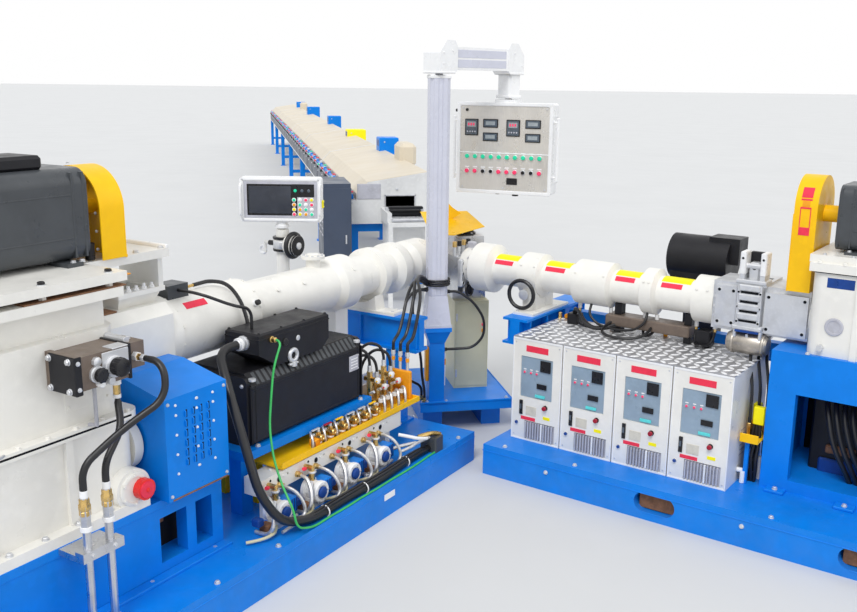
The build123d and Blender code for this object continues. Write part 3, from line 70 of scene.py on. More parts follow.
def material(name, colour, rough=0.4, metal=0.0, mottle=0.12, scale=7.0, bump=0.12, grain=420.0, dust=0.0,
             stretch=(1, 1, 1), coat=0.0, glow=0.0, shine=0.5):
    """Every material has mottled colour, uneven gloss and a fine bump."""
    m = M[name] = bpy.data.materials.new(name)
    m.use_nodes = True
    nodes, links = m.node_tree.nodes, m.node_tree.links
    shader = nodes["Principled BSDF"]
    for key, value in (("Metallic", metal), ("Specular IOR Level", shine), ("Coat Weight", coat),
                       ("Coat Roughness", 0.15)):
        shader.inputs[key].default_value = value
    where = nodes.new("ShaderNodeTexCoord").outputs["Object"]
    mapping = nodes.new("ShaderNodeMapping")
    mapping.inputs["Scale"].default_value = stretch
    links.new(where, mapping.inputs["Vector"])
    drawn = mapping.outputs["Vector"]

    def noise(size, detail, source):
        n = nodes.new("ShaderNodeTexNoise")
        n.inputs["Scale"].default_value = size
        n.inputs["Detail"].default_value = detail
        links.new(source, n.inputs["Vector"])
        return n.outputs["Fac"]

    def spread(source, low, high, a, b):
        r = nodes.new("ShaderNodeMapRange")
        for key, value in (("From Min", low), ("From Max", high), ("To Min", a), ("To Max", b)):
            r.inputs[key].default_value = value
        links.new(source, r.inputs["Value"])
        return r.outputs["Result"]

    def blend(factor, first, second):
        x = nodes.new("ShaderNodeMix")
        x.data_type = "RGBA"
        links.new(factor, x.inputs["Factor"])
        for socket, value in ((x.inputs[6], first), (x.inputs[7], second)):
            if isinstance(value, tuple):
                socket.default_value = (*value, 1)
            else:
                links.new(value, socket)
        return x.outputs[2]

    dark = tuple(c * (1 - 2.2 * mottle) for c in colour)
    tone = blend(spread(noise(scale, 5, where), 0.42, 0.75, 0.0, 0.75), tuple(colour), dark)
    light = tuple(min(1.0, c * (1 + 0.9 * mottle)) for c in colour)
    tone = blend(spread(noise(scale * 4.3, 3, drawn), 0.5, 0.72, 0.0, 0.6), tone, light)
    if dust:
        parts = nodes.new("ShaderNodeSeparateXYZ")
        links.new(where, parts.inputs["Vector"])
        low = spread(parts.outputs["Z"], 0.02, 0.30, dust, 0.0)
        both = nodes.new("ShaderNodeMath")
        both.operation = "MULTIPLY"
        links.new(low, both.inputs[0])
        links.new(spread(noise(11, 6, where), 0.35, 0.65, 0.2, 1.0), both.inputs[1])
        tone = blend(both.outputs[0], tone, (0.25, 0.22, 0.19))
    links.new(tone, shader.inputs["Base Color"])
    links.new(spread(noise(scale * 2.1, 4, where), 0.3, 0.7, max(0.05, rough - 0.09), min(1, rough + 0.1)),
              shader.inputs["Roughness"])
    if glow:
        shader.inputs["Emission Color"].default_value = (*colour, 1)
        shader.inputs["Emission Strength"].default_value = glow
    relief = nodes.new("ShaderNodeBump")
    relief.inputs["Strength"].default_value = bump
    relief.inputs["Distance"].default_value = 0.0012
    links.new(noise(grain, 3, drawn), relief.inputs["Height"])
    links.new(relief.outputs["Normal"], shader.inputs["Normal"])
    return m


WHITE = material("machine_white", (0.84, 0.82, 0.765), 0.36, mottle=0.05, scale=5, bump=0.18, grain=160,
    dust=0.1, coat=0.1)
BLUE = material("machine_blue", (0.001, 0.215, 0.76), 0.36, mottle=0.08, scale=4, bump=0.08, grain=240,
    dust=0.08, shine=0.22)
BLACK = material("motor_black", (0.012, 0.012, 0.015), 0.42, mottle=0.2, bump=0.35, grain=300, shine=0.3)
GREY = material("motor_grey", (0.062, 0.068, 0.075), 0.34, mottle=0.12, bump=0.2, grain=260, shine=0.4)
YELLOW = material("safety_yellow", (0.98, 0.56, 0.006), 0.36, mottle=0.06, bump=0.08, shine=0.25)
STEEL = material("bare_steel", (0.62, 0.63, 0.66), 0.32, 1.0, mottle=0.12, scale=14, bump=0.08, grain=90,
    stretch=(1, 1, 14))
BEIGE = material("hood_beige", (0.68, 0.6, 0.47), 0.42, mottle=0.05, scale=1.3, bump=0.06, grain=90)
NAVY = material("dark_blue", (0.056, 0.073, 0.112), 0.38, mottle=0.1, scale=3, dust=0.1)
RUBBER = material("hose_rubber", (0.011, 0.011, 0.013), 0.36, mottle=0.25, bump=0.3, grain=500)
material("earth_wire", (0.04, 0.46, 0.1), 0.36, mottle=0.12, scale=22, bump=0.1)
PALE = material("pale_grey", (0.74, 0.74, 0.73), 0.42, mottle=0.08, bump=0.15, dust=0.1)
KHAKI = material("khaki_paint", (0.68, 0.635, 0.42), 0.45, mottle=0.07, scale=3, dust=0.1, shine=0.3)
material("belt_rubber", (0.03, 0.03, 0.03), 0.6, mottle=0.2, bump=0.5, grain=700)
BROWN = material("brown_paint", (0.19, 0.145, 0.115), 0.4, 0.25, mottle=0.16, scale=9, bump=0.3, grain=220)
BRASS = material("brass_fittings", (0.7, 0.48, 0.18), 0.3, 1.0, mottle=0.2, scale=30, bump=0.2)
RED = material("red_paint", (0.86, 0.035, 0.03), 0.34, mottle=0.1, scale=18, shine=0.3)
LILAC = material("lilac_white", (0.6, 0.61, 0.7), 0.3, mottle=0.04, scale=5, bump=0.05, coat=0.15)
CLEAN = material("clean_white", (0.86, 0.86, 0.86), 0.32, mottle=0.04, scale=9, bump=0.05)
SILVER = material("silver", (0.66, 0.67, 0.69), 0.4, 0.55, mottle=0.1, scale=12, bump=0.02, grain=90)
TREAD = material("tread", (0.9, 0.9, 0.91), 0.3, 0.25, mottle=0.06, scale=30, bump=0.08)
TREAD_BASE = material("tread_base", (0.46, 0.46, 0.48), 0.4, 0.6, mottle=0.22, scale=9, bump=0.2)
FACE = material("face_grey", (0.66, 0.63, 0.58), 0.32, 0.35, mottle=0.12, scale=5, bump=0.05, grain=60,
    stretch=(9, 9, 1))
SCREEN = material("screen", (0.034, 0.04, 0.056), 0.14, mottle=0.2, scale=6, bump=0.02, coat=0.5)
METER = material("meter", (0.075, 0.1, 0.13), 0.22, mottle=0.12, scale=40, bump=0.03, coat=0.4)
GLASS = material("meter_glass", (0.34, 0.38, 0.4), 0.15, mottle=0.12, scale=60, bump=0.02)
SLATE = material("blue_grey", (0.28, 0.37, 0.46), 0.35, mottle=0.1, scale=9, bump=0.05)
LOUVRE = material("louvre_grey", (0.5, 0.5, 0.55), 0.45, mottle=0.12, scale=12, bump=0.1)
CYAN = material("cyan", (0.1, 0.62, 0.62), 0.35, mottle=0.1, scale=50, glow=0.12)
RED_LAMP = material("lamp_red", (0.86, 0.05, 0.14), 0.25, mottle=0.1, scale=60, glow=0.2, shine=0.3)
GREEN_LAMP = material("lamp_green", (0.02, 0.62, 0.34), 0.25, mottle=0.1, scale=60, glow=0.2, shine=0.3)
WINE = material("dark_red", (0.36, 0.01, 0.03), 0.32, mottle=0.12, scale=50, shine=0.3)
RED_STRIP = material("strip_red", (0.86, 0.045, 0.09), 0.42, mottle=0.08, scale=24, bump=0.05, shine=0.2)
YELLOW_STRIP = material("strip_yellow", (0.98, 0.86, 0.01), 0.4, mottle=0.05, scale=24, bump=0.05, shine=0.2)
ORANGE = material("orange", (0.9, 0.36, 0.015), 0.4, mottle=0.1, scale=12, shine=0.3)
DEEP = material("deep_blue", (0.008, 0.055, 0.27), 0.35, mottle=0.14, scale=12, shine=0.3)
SHADOW = material("shadow", (0.006, 0.007, 0.01), 0.7, mottle=0.2, shine=0.2)
PLASTIC = material("black_plastic", (0.014, 0.014, 0.016), 0.32, mottle=0.2, scale=30, bump=0.15, shine=0.35)
PLATE = material("beige_plate", (0.66, 0.62, 0.52), 0.45, mottle=0.1, scale=30)
RUST = material("rusty", (0.24, 0.11, 0.05), 0.65, mottle=0.3, scale=18, bump=0.6, grain=160)
WORN = material("worn_steel", (0.46, 0.42, 0.37), 0.36, 0.75, mottle=0.2, scale=16, bump=0.15, grain=120)
BRAID = material("braid", (0.66, 0.66, 0.66), 0.36, 0.7, mottle=0.2, scale=60, bump=0.6, grain=260)
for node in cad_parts.values():
    for place in node.material_slots:
        place.material = M[place.material.name.split(".")[0]]
for name, kind in (("temperature_unit_top_plate", TREAD_BASE), ("pendant_column", LILAC),
                   ("control_box", CLEAN), ("operator_panel", CLEAN), ("pendant_arm", CLEAN),
                   ("right_feed_block", SILVER)):
    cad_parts[name].material_slots[0].material = kind


def grid(x, y, z):
    """All points of a grid: each coordinate is one number or several."""
    return product(*(a if hasattr(a, "__len__") else (a,) for a in (x, y, z)))


def around(n, r, first=0.0):
    """Cosine and sine parts of n points on a circle."""
    return [(r * cos(t), r * sin(t)) for t in (2 * pi * (k + first) / n for k in range(n))]


def basis(axis):
    """Unit vectors along axis and square to it."""
    z = Vector(axis).normalized()
    x = z.orthogonal().normalized()
    return x, z.cross(x), z


class Piece:
    """A mesh gathered from closed shapes, given in millimetres in one frame."""
    made = []

    def __init__(self, name, at, slot, body="line"):
        self.name, self.at, self.slot, self.body = name, at, slot, body
        self.verts, self.faces, self.kinds, self.used = [], [], [], {}
        self.made.append(self)

    def add(self, kind, verts, faces, turn):
        base = len(self.verts)
        whole = self.at @ turn
        self.verts += [whole @ Vector(v) for v in verts]
        self.faces += [[i + base for i in f] for f in faces]
        self.kinds += [self.used.setdefault(kind, len(self.used))] * len(faces)

    def done(self):
        mesh = bpy.data.meshes.new(self.name)
        mesh.from_pydata(self.verts, [], self.faces)
        for kind in self.used:
            mesh.materials.append(kind)
        mesh.polygons.foreach_set("material_index", self.kinds)
        tidy = bmesh.new()
        tidy.from_mesh(mesh)
        bmesh.ops.recalc_face_normals(tidy, faces=tidy.faces)
        tidy.to_mesh(mesh)
        tidy.free()
        mesh.shade_smooth()
        mesh.set_sharp_from_angle(angle=radians(34))
        thing = bpy.data.objects.new(self.name, mesh)
        bpy.context.scene.collection.objects.link(thing)
        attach(thing, self.body)


def add(kind, verts, faces, turn=Matrix()):
    """Shapes join the last piece made. Where one asks for places, a coordinate can be several numbers."""
    Piece.made[-1].add(kind, verts, faces, turn)


def box(kind, x0, x1, y0, y1, z0, z1, k=1.5, turn=Matrix()):
    """Box with its edges and corners chamfered by k: each corner has three vertices, one for each face."""
    ends = ((x0, x1), (y0, y1), (z0, z1))
    mid = [(a + b) / 2 for a, b in ends]
    half = [abs(b - a) / 2 for a, b in ends]
    k = min([k] + [0.8 * h for h in half])
    verts = [[mid[i] + s[i] * (half[i] - (0 if i == a else k)) for i in range(3)]
             for s in product((-1, 1), repeat=3) for a in range(3)]
    faces = []
    for a, b, over, right, up in ((0, 1, 12, 6, 3), (1, 2, 6, 3, 12), (2, 0, 3, 12, 6)):
        for s in (0, over):
            faces.append([s + a, s + right + a, s + right + up + a, s + up + a])
            faces += [[t + a, t + b, t + up + b, t + up + a] for t in (s, s + right)]
    add(kind, verts, faces + [[i, i + 1, i + 2] for i in range(0, 24, 3)], turn)


def bars(kind, lows, size, k=1.5):
    """Boxes of one size, by their low corners."""
    for x, y, z in grid(*lows):
        box(kind, x, x + size[0], y, y + size[1], z, z + size[2], k)


def lathe(kind, starts, axis, profile, n=20):
    """Turned shape: (distance, radius) pairs along axis from start, closed at both ends."""
    x, y, z = basis(axis)
    faces = [[a, b, b + n, a + n] for j in range(len(profile) - 1)
             for a, b in ((j * n + i, j * n + (i + 1) % n) for i in range(n))]
    faces += [list(range(n)), [(len(profile) - 1) * n + i for i in range(n)]]
    for start in grid(*starts):
        add(kind, [Vector(start) + z * d + (x * c + y * s) * r
                   for d, r in profile for c, s in around(n, 1, 0.5)], faces)


def rod(kind, starts, along, r, n=16):
    length = Vector(along).length
    k = min(1.0, 0.4 * length, 0.5 * r)
    lathe(kind, starts, along, [(0, r - k), (k, r), (length - k, r), (length, r - k)], n)


def ring(kind, middle, axis, major, minor, n=28, m=10):
    x, y, z = basis(axis)
    verts = [Vector(middle) + (x * c + y * s) * (major + a) + z * b
             for c, s in around(n, 1) for a, b in around(m, minor)]
    add(kind, verts, [[i * m + j, i * m + (j + 1) % m, (i + 1) % n * m + (j + 1) % m, (i + 1) % n * m + j]
                      for i in range(n) for j in range(m)])


def bolt(kind, feet, axis, size, washer=None):
    """Hexagon head with a chamfered top on its washer."""
    a = Vector(axis).normalized()
    for foot in grid(*feet):
        foot = Vector(foot) - a * 0.4
        lathe(washer or kind, foot, a,
              [(0, size * 1.05), (0.22 * size, size * 1.05), (0.26 * size, size)], 14)
        lathe(kind, foot + a * 0.24 * size, a,
              [(0, size * 0.86), (0.55 * size, size * 0.86), (0.68 * size, size * 0.7)], 6)


def socket(kind, feet, axis, r):
    """Countersunk socket screw: a dark hole in a bright rim."""
    a = Vector(axis)
    for foot in grid(*feet):
        rim = [(0, r * 1.25), (1.2, r * 1.25), (1.8, r * 1.1), (1.8, r * 0.9)]
        lathe(kind, Vector(foot) - a * 0.5, a, rim, 16)
        lathe(SHADOW, Vector(foot) + a * 1.2, a, [(0, r * 0.93), (0.9, r * 0.93)], 14)


def prism(kind, outline, axis, low, high):
    """Flat outline extruded along x or y."""
    verts = [(level, p, q) if axis == "x" else (p, level, q) for level in (low, high) for p, q in outline]
    n = len(outline)
    faces = [[j, (j + 1) % n, (j + 1) % n + n, j + n] for j in range(n)]
    add(kind, verts, faces + [list(range(n)), list(range(n, 2 * n))])


def patch(kind, u0, u1, z, r, a0, a1, side, n=10):
    """Sheet laid on a round barrel: angles run from its top towards the side given by side."""
    angles = [radians(a0 + (a1 - a0) * i / n) for i in range(n + 1)]
    verts = [(u, side * sin(t) * radius, z + cos(t) * radius)
             for radius in (r - 0.6, r + 1.6) for u in (u0, u1) for t in angles]
    m = n + 1
    faces = [[a * m + i, b * m + i, b * m + i + 1, a * m + i + 1]
             for i in range(n) for a, b in ((0, 1), (2, 3), (0, 2), (1, 3))]
    add(kind, verts, faces + [[i, m + i, 3 * m + i, 2 * m + i] for i in (0, n)])


def hose(kind, r, *points):
    """Pipe that is held at both ends, swept along a smooth spline."""
    curve = bpy.data.curves.new("route", "CURVE")
    curve.dimensions = "3D"
    curve.bevel_depth = r
    curve.bevel_resolution = 3
    curve.use_fill_caps = True
    spline = curve.splines.new("NURBS")
    spline.points.add(len(points) - 1)
    for point, place in zip(spline.points, points):
        point.co = (*place, 1)
    spline.order_u = 3
    spline.use_endpoint_u = True
    spline.resolution_u = 6
    carrier = bpy.data.objects.new("route", curve)
    mesh = bpy.data.meshes.new_from_object(carrier)
    add(kind, [v.co.copy() for v in mesh.vertices], [list(f.vertices) for f in mesh.polygons])
    bpy.data.objects.remove(carrier)
    bpy.data.curves.remove(curve)
    bpy.data.meshes.remove(mesh)


# Right extruder: temperature controllers, laid out by shares of the width and height of their fronts
UNIT_U, UNIT_PITCH, UNIT_W, UNIT_H, UNIT_TOP, UNIT_Y = 941, 304, 298, 575, 746, -453
for i in range(4):
    Piece(f"temperature_unit_face_{i + 1}", RIGHT, "machine_white")
    u0 = UNIT_U + i * UNIT_PITCH

    def plate(kind, x0, x1, y0, y1, back, front, k=1.0):
        box(kind, u0 + x0 * UNIT_W, u0 + x1 * UNIT_W, UNIT_Y - front, UNIT_Y + back, UNIT_TOP - y1 * UNIT_H,
            UNIT_TOP - y0 * UNIT_H, k)

    def knob(kind, fx, fy, back, profile, n=16):
        lathe(kind, (u0 + fx * UNIT_W, UNIT_Y + back, UNIT_TOP - fy * UNIT_H), -Y, profile, n)

    for x0, x1, y0, y1 in ((0, 1, 0, 0.018), (0, 1, 0.985, 1), (0, 0.022, 0.018, 0.985),
                           (0.978, 1, 0.018, 0.985)):
        plate(CLEAN, x0, x1, y0, y1, 1, 2.5)
    plate(RED_STRIP, 0.27, 0.72, 0.062, 0.122, 0.5, 1.6)
    plate(SLATE, 0.172, 0.818, 0.172, 0.568, 6.5, -4)
    plate(PLASTIC, 0.57, 0.78, 0.185, 0.295, -3.5, 0.5)
    plate(SCREEN, 0.595, 0.755, 0.2, 0.28, -0.2, 1.4)
    for fx in (0.25, 0.38, 0.50):
        knob(LOUVRE, fx, 0.325, 4.5, [(0, 8.5), (3, 8.5), (4, 7)])
        knob(RED_LAMP, fx, 0.325, 1.5, [(0, 6), (4, 6), (6, 4), (6.5, 1.5)], 14)
        bars(CLEAN, (u0 + fx * UNIT_W - 8, UNIT_Y + 3.2, UNIT_TOP - 0.325 * UNIT_H + 13), (16, 1.4, 6), 0.4)
    plate(PLASTIC, 0.51, 0.71, 0.415, 0.465, -3.5, 0)
    plate(SCREEN, 0.53, 0.69, 0.425, 0.455, -0.5, 0.8)
    plate(CYAN, 0.48, 0.68, 0.525, 0.552, -3.5, -3)
    plate(PLASTIC, 0.17, 0.235, 0.605, 0.745, 0.5, 7)
    plate(METER, 0.185, 0.22, 0.64, 0.69, -6, 12)
    plate(PLATE, 0.3, 0.515, 0.655, 0.745, 0.5, 1.6)
    knob(PLASTIC, 0.70, 0.637, 0.5, [(0, 14), (3, 14), (4, 12)], 20)
    knob(WINE, 0.70, 0.637, -3, [(0, 8), (8, 9), (9, 12), (17, 12), (19, 9)], 20)
    plate(YELLOW_STRIP, 0.66, 0.8, 0.725, 0.755, 0.5, 1.4, 0.5)
    plate(RED_STRIP, 0.2, 0.5, 0.762, 0.795, 0.5, 1.4, 0.5)
    knob(SILVER, 0.12, 0.832, 0.5, [(0, 10), (2, 10), (3, 8)])
    knob(DEEP, 0.12, 0.832, -2, [(0, 8), (9, 8), (11, 5)])
    plate(LOUVRE, 0.282, 0.898, 0.802, 0.978, 12.5, -8.5, 0.5)
    for j in range(11):
        kind, width, front = (CLEAN, 0.03, -1) if j == 6 else (LOUVRE, 0.022, -4)
        plate(kind, 0.30 + j * 0.054, 0.30 + j * 0.054 + width, 0.808, 0.972, -8, front, 0.6)
    for fx, fy in ((0.06, 0.045), (0.94, 0.045), (0.06, 0.955), (0.94, 0.955)):
        knob(SILVER, fx, fy, 0.5, [(0, 4.5), (1.5, 4.5), (2.6, 2.5)], 12)
    side, thick = (-0.8, 1.6) if i == 0 else (UNIT_W - 0.6, 1.4)
    bars(LOUVRE, (u0 + side, (-290, -200), range(300, 431, 26)), (thick, 70, 7), 0.3)

# Lozenges of the chequer plate
Piece("chequer_plate_lozenges", RIGHT, "bare_steel")
PITCH = 51.0
rim = [(-29, 0), (-18, -9), (0, -12), (18, -9), (29, 0), (18, 9), (0, 12), (-18, 9)]
verts = [(a, b, 0) for a, b in rim] + [(0.62 * a, 0.5 * b, 3.6) for a, b in rim]
faces = [[k, (k + 1) % 8, (k + 1) % 8 + 8, k + 8] for k in range(8)] + [list(range(8)), list(range(8, 16))]
for i, j in product(range(24), range(10)):
    place = Matrix.Translation((UNIT_U + 25 + i * PITCH, UNIT_Y + 28 + j * PITCH, 750.6))
    add(TREAD, verts, faces, place @ Matrix.Rotation(radians(45 if (i + j) % 2 else -45), 4, "Z"))

# Strips on the right barrel, its flange bolts and the clamp screws of its jackets
Piece("right_barrel_strips", RIGHT, "safety_yellow")
for u0, u1, red in ((566, 716, 125), (902, 1052, 128), (1334, 1472, 118), (1597, 1757, 120)):
    patch(YELLOW_STRIP, u0, u1, AXIS, 90, -8, 37, -1)
    patch(RED_STRIP, u0 + 6, u0 + red, AXIS, 90, 42, 60, -1)
Piece("right_barrel_bolts", RIGHT, "bare_steel")
for kind, u, r, way in ((WHITE, 537, 118, X), (SILVER, 409, 128, -X)):
    for c, s in around(12, r):
        bolt(kind, (u, s, AXIS + c), way, 9)
for u0, u1 in ((734, 887), (1080, 1319), (1484, 1581), (1775, 1900)):
    for u, t in product((u0 + 34, u1 - 34), (radians(-58), radians(58))):
        bolt(WHITE, (u, -124 * sin(t), AXIS + 124 * cos(t)), (0, -sin(t), cos(t)), 8)

# Feed block of the right extruder
Piece("right_feed_block_screws", RIGHT, "bare_steel")
socket(SILVER, ((1937, 2008), -137, (927, 1090)), -Y, 8.5)
socket(SILVER, ((2182, 2353), -137, (922, 1083)), -Y, 8.5)
bolt(SILVER, (1916, -125, (950, 1000, 1050)), -Y, 9)
bolt(SILVER, (2372, -112, (950, 1000, 1050)), -Y, 9)
for z in range(947, 1092, 48):
    box(SHADOW, 2051, 2139, -150, -132, z + 1, z + 19, 1)
    box(SHADOW, 2053, 2137, -163.4, -160, z - 1, z + 11, 1)
    box(SILVER, 2042, 2148, -172, -159, z + 13, z + 45, 6)
lathe(WORN, (1988, -110, 832), X, [(0, 22), (5, 44), (24, 56), (186, 56), (206, 44), (211, 22)], 28)
lathe(WORN, ((2016, 2166), -110, 832), X, [(0, 58), (3, 60), (12, 60), (15, 58)], 28)
socket(SILVER, ((2042, 2148), -163, (948, 1022, 1096)), -Y, 6)
bars(CLEAN, ((2030, 2130), -147, 1180), (30, 77, 114), 5)
socket(SILVER, ((2045, 2145), -147, 1262), -Y, 6)
box(BLACK, 2056, 2134, -66, -40, 1142, 1286, 4)
box(SILVER, 2068, 2122, -120, -64, 1142, 1240, 8)
lathe(SHADOW, (2095, -119, 1215), -Y, [(0, 11), (2, 11)], 16)
box(SILVER, 2020, 2170, -158, -60, 1139, 1158, 4)
bars(SILVER, ((2026, 2152), -160, 862), (16, 40, 70), 4)
box(SILVER, 2020, 2168, -166, -110, 905, 927, 5)
box(DEEP, 2036, 2154, -165, -112, 893, 905, 3)

# Right gearbox and motor details
Piece("right_gearbox_fittings", RIGHT, "machine_white")
bolt(WHITE, (range(2430, 3130, 110), (-254, 254), 1300), Z, 11)
bolt(SILVER, (range(2440, 3120, 125), -225, 1335), Z, 9)
box(SHADOW, 2412, 3140, -262.8, -258, 1256, 1260, 0.5)
box(DEEP, 2470, 2590, -251.5, -249, 1190, 1236, 3)
for c, s in around(10, 112):
    bolt(WHITE, (2376, s, AXIS + c), -X, 9)
lathe(LOUVRE, (2520, -250, 1010), -Y, [(0, 42), (5, 42), (8, 38), (8, 30), (5, 28)], 28)
rod(SILVER, (2470, -250, 905), -26 * Y, 16, 6)
bolt(SILVER, ((2420, 2700, 3000), -265, 866), Z, 11)
Piece("right_upper_motor_trim", RIGHT, "motor_grey")
bars(GREY, ((2466, 2520, 2900, 2950), -151.5, 1362), (8, 303, 273), 1)
bars(GREY, (2534, (-152, 148.5), (1440, 1566)), (356, 3.5, 6), 1.2)
box(BLACK, 2560, 2760, -60, 110, 1646, 1690, 10)
bolt(SILVER, ((2530, 2860), (-160, 160), 1347), Z, 10)
for a0, a1 in ((50, 70), (72, 75), (87, 90)):
    patch(RED_STRIP, 2292, 2342, 1527, 150, a0, a1, -1)
patch(ORANGE, 2300, 2334, 1527, 150, 76, 86, -1)
bars(RED_STRIP, ((2292, 2338), -151.6, 1440), (4, 2.2, 87), 0.5)
box(RED_STRIP, 2292, 2342, -151.6, -149.4, 1402, 1440, 0.5)
box(YELLOW, 2262, 2268, -152, 152, 1128, 1500, 1)

# Parts of the right drive that show past the controllers
Piece("right_drive_fittings", RIGHT, "brass_fittings")
box(YELLOW, 2162, 2252, -330, -40, 395, 403, 2)
box(YELLOW, 2162, 2252, -336, -330, 395, 440, 2)
box(BLUE, 2180, 2200, -300, -280, 171, 396, 2)
box(BLUE, 2226, 2246, -90, -70, 171, 396, 2)
for i in range(3):
    u, y = 2178 + 26 * i, -250 + 45 * i
    rod(BRASS, (u, y, 402), 68 * Z, 12, 6)
    rod(PLASTIC, (u, y, 468), 32 * Z, 9, 12)
    hose(RUBBER, 8, (u, y, 498), (u, y, 560), (u - 4, y + 10, 640), (u - 30, y + 60, 700),
         (u - 60, y + 120, 760), (u - 70, y + 150, 820), (u - 70, y + 165, 884))
    hose(RUBBER, 9, (u, y, 396), (u, y, 330), (u + 6, y - 14, 260), (u + 2, y - 10, 210), (u, y - 8, 170))
    rod(BRAID, (u, y - 8, 168), 46 * Z, 13, 10)
box(ORANGE, 2172, 2206, -210, -170, 403, 470, 4)
box(YELLOW_STRIP, 2196, 2250, -262, -230, 470, 560, 4)
box(YELLOW_STRIP, 2160, 2196, -150, -110, 440, 540, 4)
for k in range(3):
    hose(RUBBER, 9, (2200 + 14 * k, -240, 470), (2196 + 18 * k, -250, 380), (2176 + 26 * k, -268, 300),
         (2190 + 20 * k, -262, 230), (2196 + 14 * k, -250, 170))
rod(CLEAN, (2152, -300, 236), 28 * X, 12, 14)
rod(CLEAN, (2180, -300, 232), -60 * Z, 12, 14)
rod(CLEAN, (2230, -200, 170), 120 * Z, 9, 12)
Piece("right_stand_inside", RIGHT, "motor_black")
box(BLACK, 2420, 3120, -40, 226, 171, 700, 10)
box(SHADOW, 2330, 3120, 226, 231, 176, 860, 2)
box(DEEP, 2470, 2700, -60, -38, 190, 300, 8)
box(RUST, 2500, 2640, -66, -38, 330, 372, 6)
for k in range(4):
    u = 2500 + 46 * k
    hose(RUBBER, 13, (u, -40, 640), (2490 + 44 * k, -96, 636), (2520 + 36 * k, -168, 560),
         (2560 + 40 * k, -190, 420), (2620 + 36 * k, -168, 300), (2650 + 34 * k, -120, 210),
         (2650 + 34 * k, -110, 171))
    rod(SILVER, (u, -40, 640), -18 * Y, 18, 8)
rod(SILVER, ((2870, 2960), -40, 600), -22 * Y, 24)
rod(BRASS, ((2870, 2960), -60, 600), -18 * Y, 14, 6)
Piece("right_under_barrel_pipes", RIGHT, "hose_rubber")
box(BROWN, 1290, 1770, -70, 40, 790, 850, 6)
bars(BLACK, ((1330, 1730), -40, 751), (40, 60, 40), 3)
bars(BLACK, ((1330, 1730), -40, 849), (40, 60, 66), 3)
taps = (1110, 1300, 1500, 1570, 1790, 1890)
rod(CLEAN, (taps, -18, 878), -28 * Z, 11, 12)
rod(BRASS, (taps, -18, 852), -20 * Z, 9, 6)
for a, b, low in ((1110, 1300, 770), (1500, 1570, 772), (1790, 1890, 768)):
    hose(RUBBER, 8, (a, -18, 836), (a, -30, 800), (a + 14, -60, low), ((a + b) / 2, -110, low),
         (b - 14, -60, low), (b, -30, 800), (b, -18, 836))
hose(RUBBER, 8, (1330, -60, 812), (1300, -110, 790), (1330, -190, 770), (1420, -200, 762), (1520, -170, 768),
     (1560, -110, 790), (1560, -66, 812))
box(BLACK, 1800, 1880, -60, 20, 752, 840, 6)
box(BLACK, 1040, 1110, -40, 30, 751, 812, 5)
for k in range(2):
    hose(RUBBER, 9, (1075, -20 + 30 * k, 800), (1080, -40, 842 + 10 * k), (1140, -90, 850),
         (1210, -130 - 30 * k, 790), (1300, -120, 768), (1352, -60, 790 + 10 * k))
box(ORANGE, 970, 1010, 60, 90, 751, 775, 4)
rod(BRASS, (960, 30, 751), 39 * Z, 11, 6)
rod(ORANGE, (1290, 40, 750), 50 * Z, 12, 8)
rod(ORANGE, (1600, 42, 750), 50 * Z, 12, 8)

# Frames of both extruders: deck edges, foot bolts and lifting slots
Piece("base_frame_trim_right", RIGHT, "machine_blue")
box(BLUE, 878, 3212, -643, -638, 133, 139)
box(BLUE, 876, 881, -643, 483, 133, 139)
for u in (1870, 2830):
    bars(BLUE, (u - 54, -642.5, (35, 139)), (108, 4.5, 6), 1)
    box(RUST, u - 92, u + 92, -600, -590, 44, 136, 2)
bolt(SILVER, ((1000, 1420, 2420, 3100), -610, 171), Z, 12)
bolt(SILVER, ((1270, 2300), -640, 105), -Y, 11)
bars(BLUE, ((2300, 2620, 2960), -340, 171), (90, 61, 14), 3)
bolt(SILVER, ((2345, 2665, 3005), -312, 185), Z, 13)
Piece("base_frame_trim_left", LEFT, "machine_blue")
box(BLUE, 558, 3757, 697, 702, 134, 140)
box(BLUE, 557, 562, -520, 702, 134, 140)
box(SHADOW, 2330, 3680, 330, 336, 178, 470, 2)
for u, z in ((2372, 380), (2520, 330), (2900, 350), (3300, 320)):
    box(RUST, u, u + 60, 336, 352, z, z + 26, 5)
    rod(DEEP, (u + 40, 344, 200), (z - 220) * Z, 16, 14)
box(RUST, 2302, 2598, 449, 456, 468, 488, 2)
box(CLEAN, 1360, 1450, 699.5, 702, 90, 122, 1)
bolt(SILVER, ((700, 2200, 2560, 2900, 3300, 3650), 676, 170), Z, 12)
bolt(SILVER, ((2360, 2700, 3100, 3500), 470, 170.5), Z, 13)
box(BLUE, 2288, 3742, 448, 453, 452, 486)
box(BLUE, 2288, 3742, 452, 500, 170, 182, 2)

# Left gearbox, its motor plate and upper motor
Piece("left_gearbox_fittings", LEFT, "machine_white")
box(SHADOW, 2712, 3706, 424.2, 425.6, 856, 864, 0.4)
bolt(WHITE, (range(2720, 3700, 115), 412, 875), Z, 11)
for u in range(2700, 3700, 140):
    bolt(SILVER, (u, 430, 525), Z, 13)
    bolt(WHITE, (u, -430, 525), Z, 13)
lathe(WHITE, (2740, 444, 575), Y, [(0, 66), (5, 66), (9, 60), (9, 50), (6, 48)], 28)
for c, s in around(6, 57, 0.5):
    if abs(c + 32) > 44 or abs(s + 4) > 44:  # clear of the drain knob
        bolt(WHITE, (2740 + c, 452, 575 + s), Y, 8)
rod(LOUVRE, (2905, 470, 1047), -163 * Z, 7, 12)
rod(LOUVRE, (2905, 470, 890), (0, -42, -8), 7, 12)
rod(SILVER, (3380, 424, 905), (-90, 28, -25), 5, 10)
rod(PLASTIC, (3385, 420, 906), (25, -6, 6), 16, 12)
rod(SILVER, (3290, 452, 880), (-50, -28, -4), 5, 10)
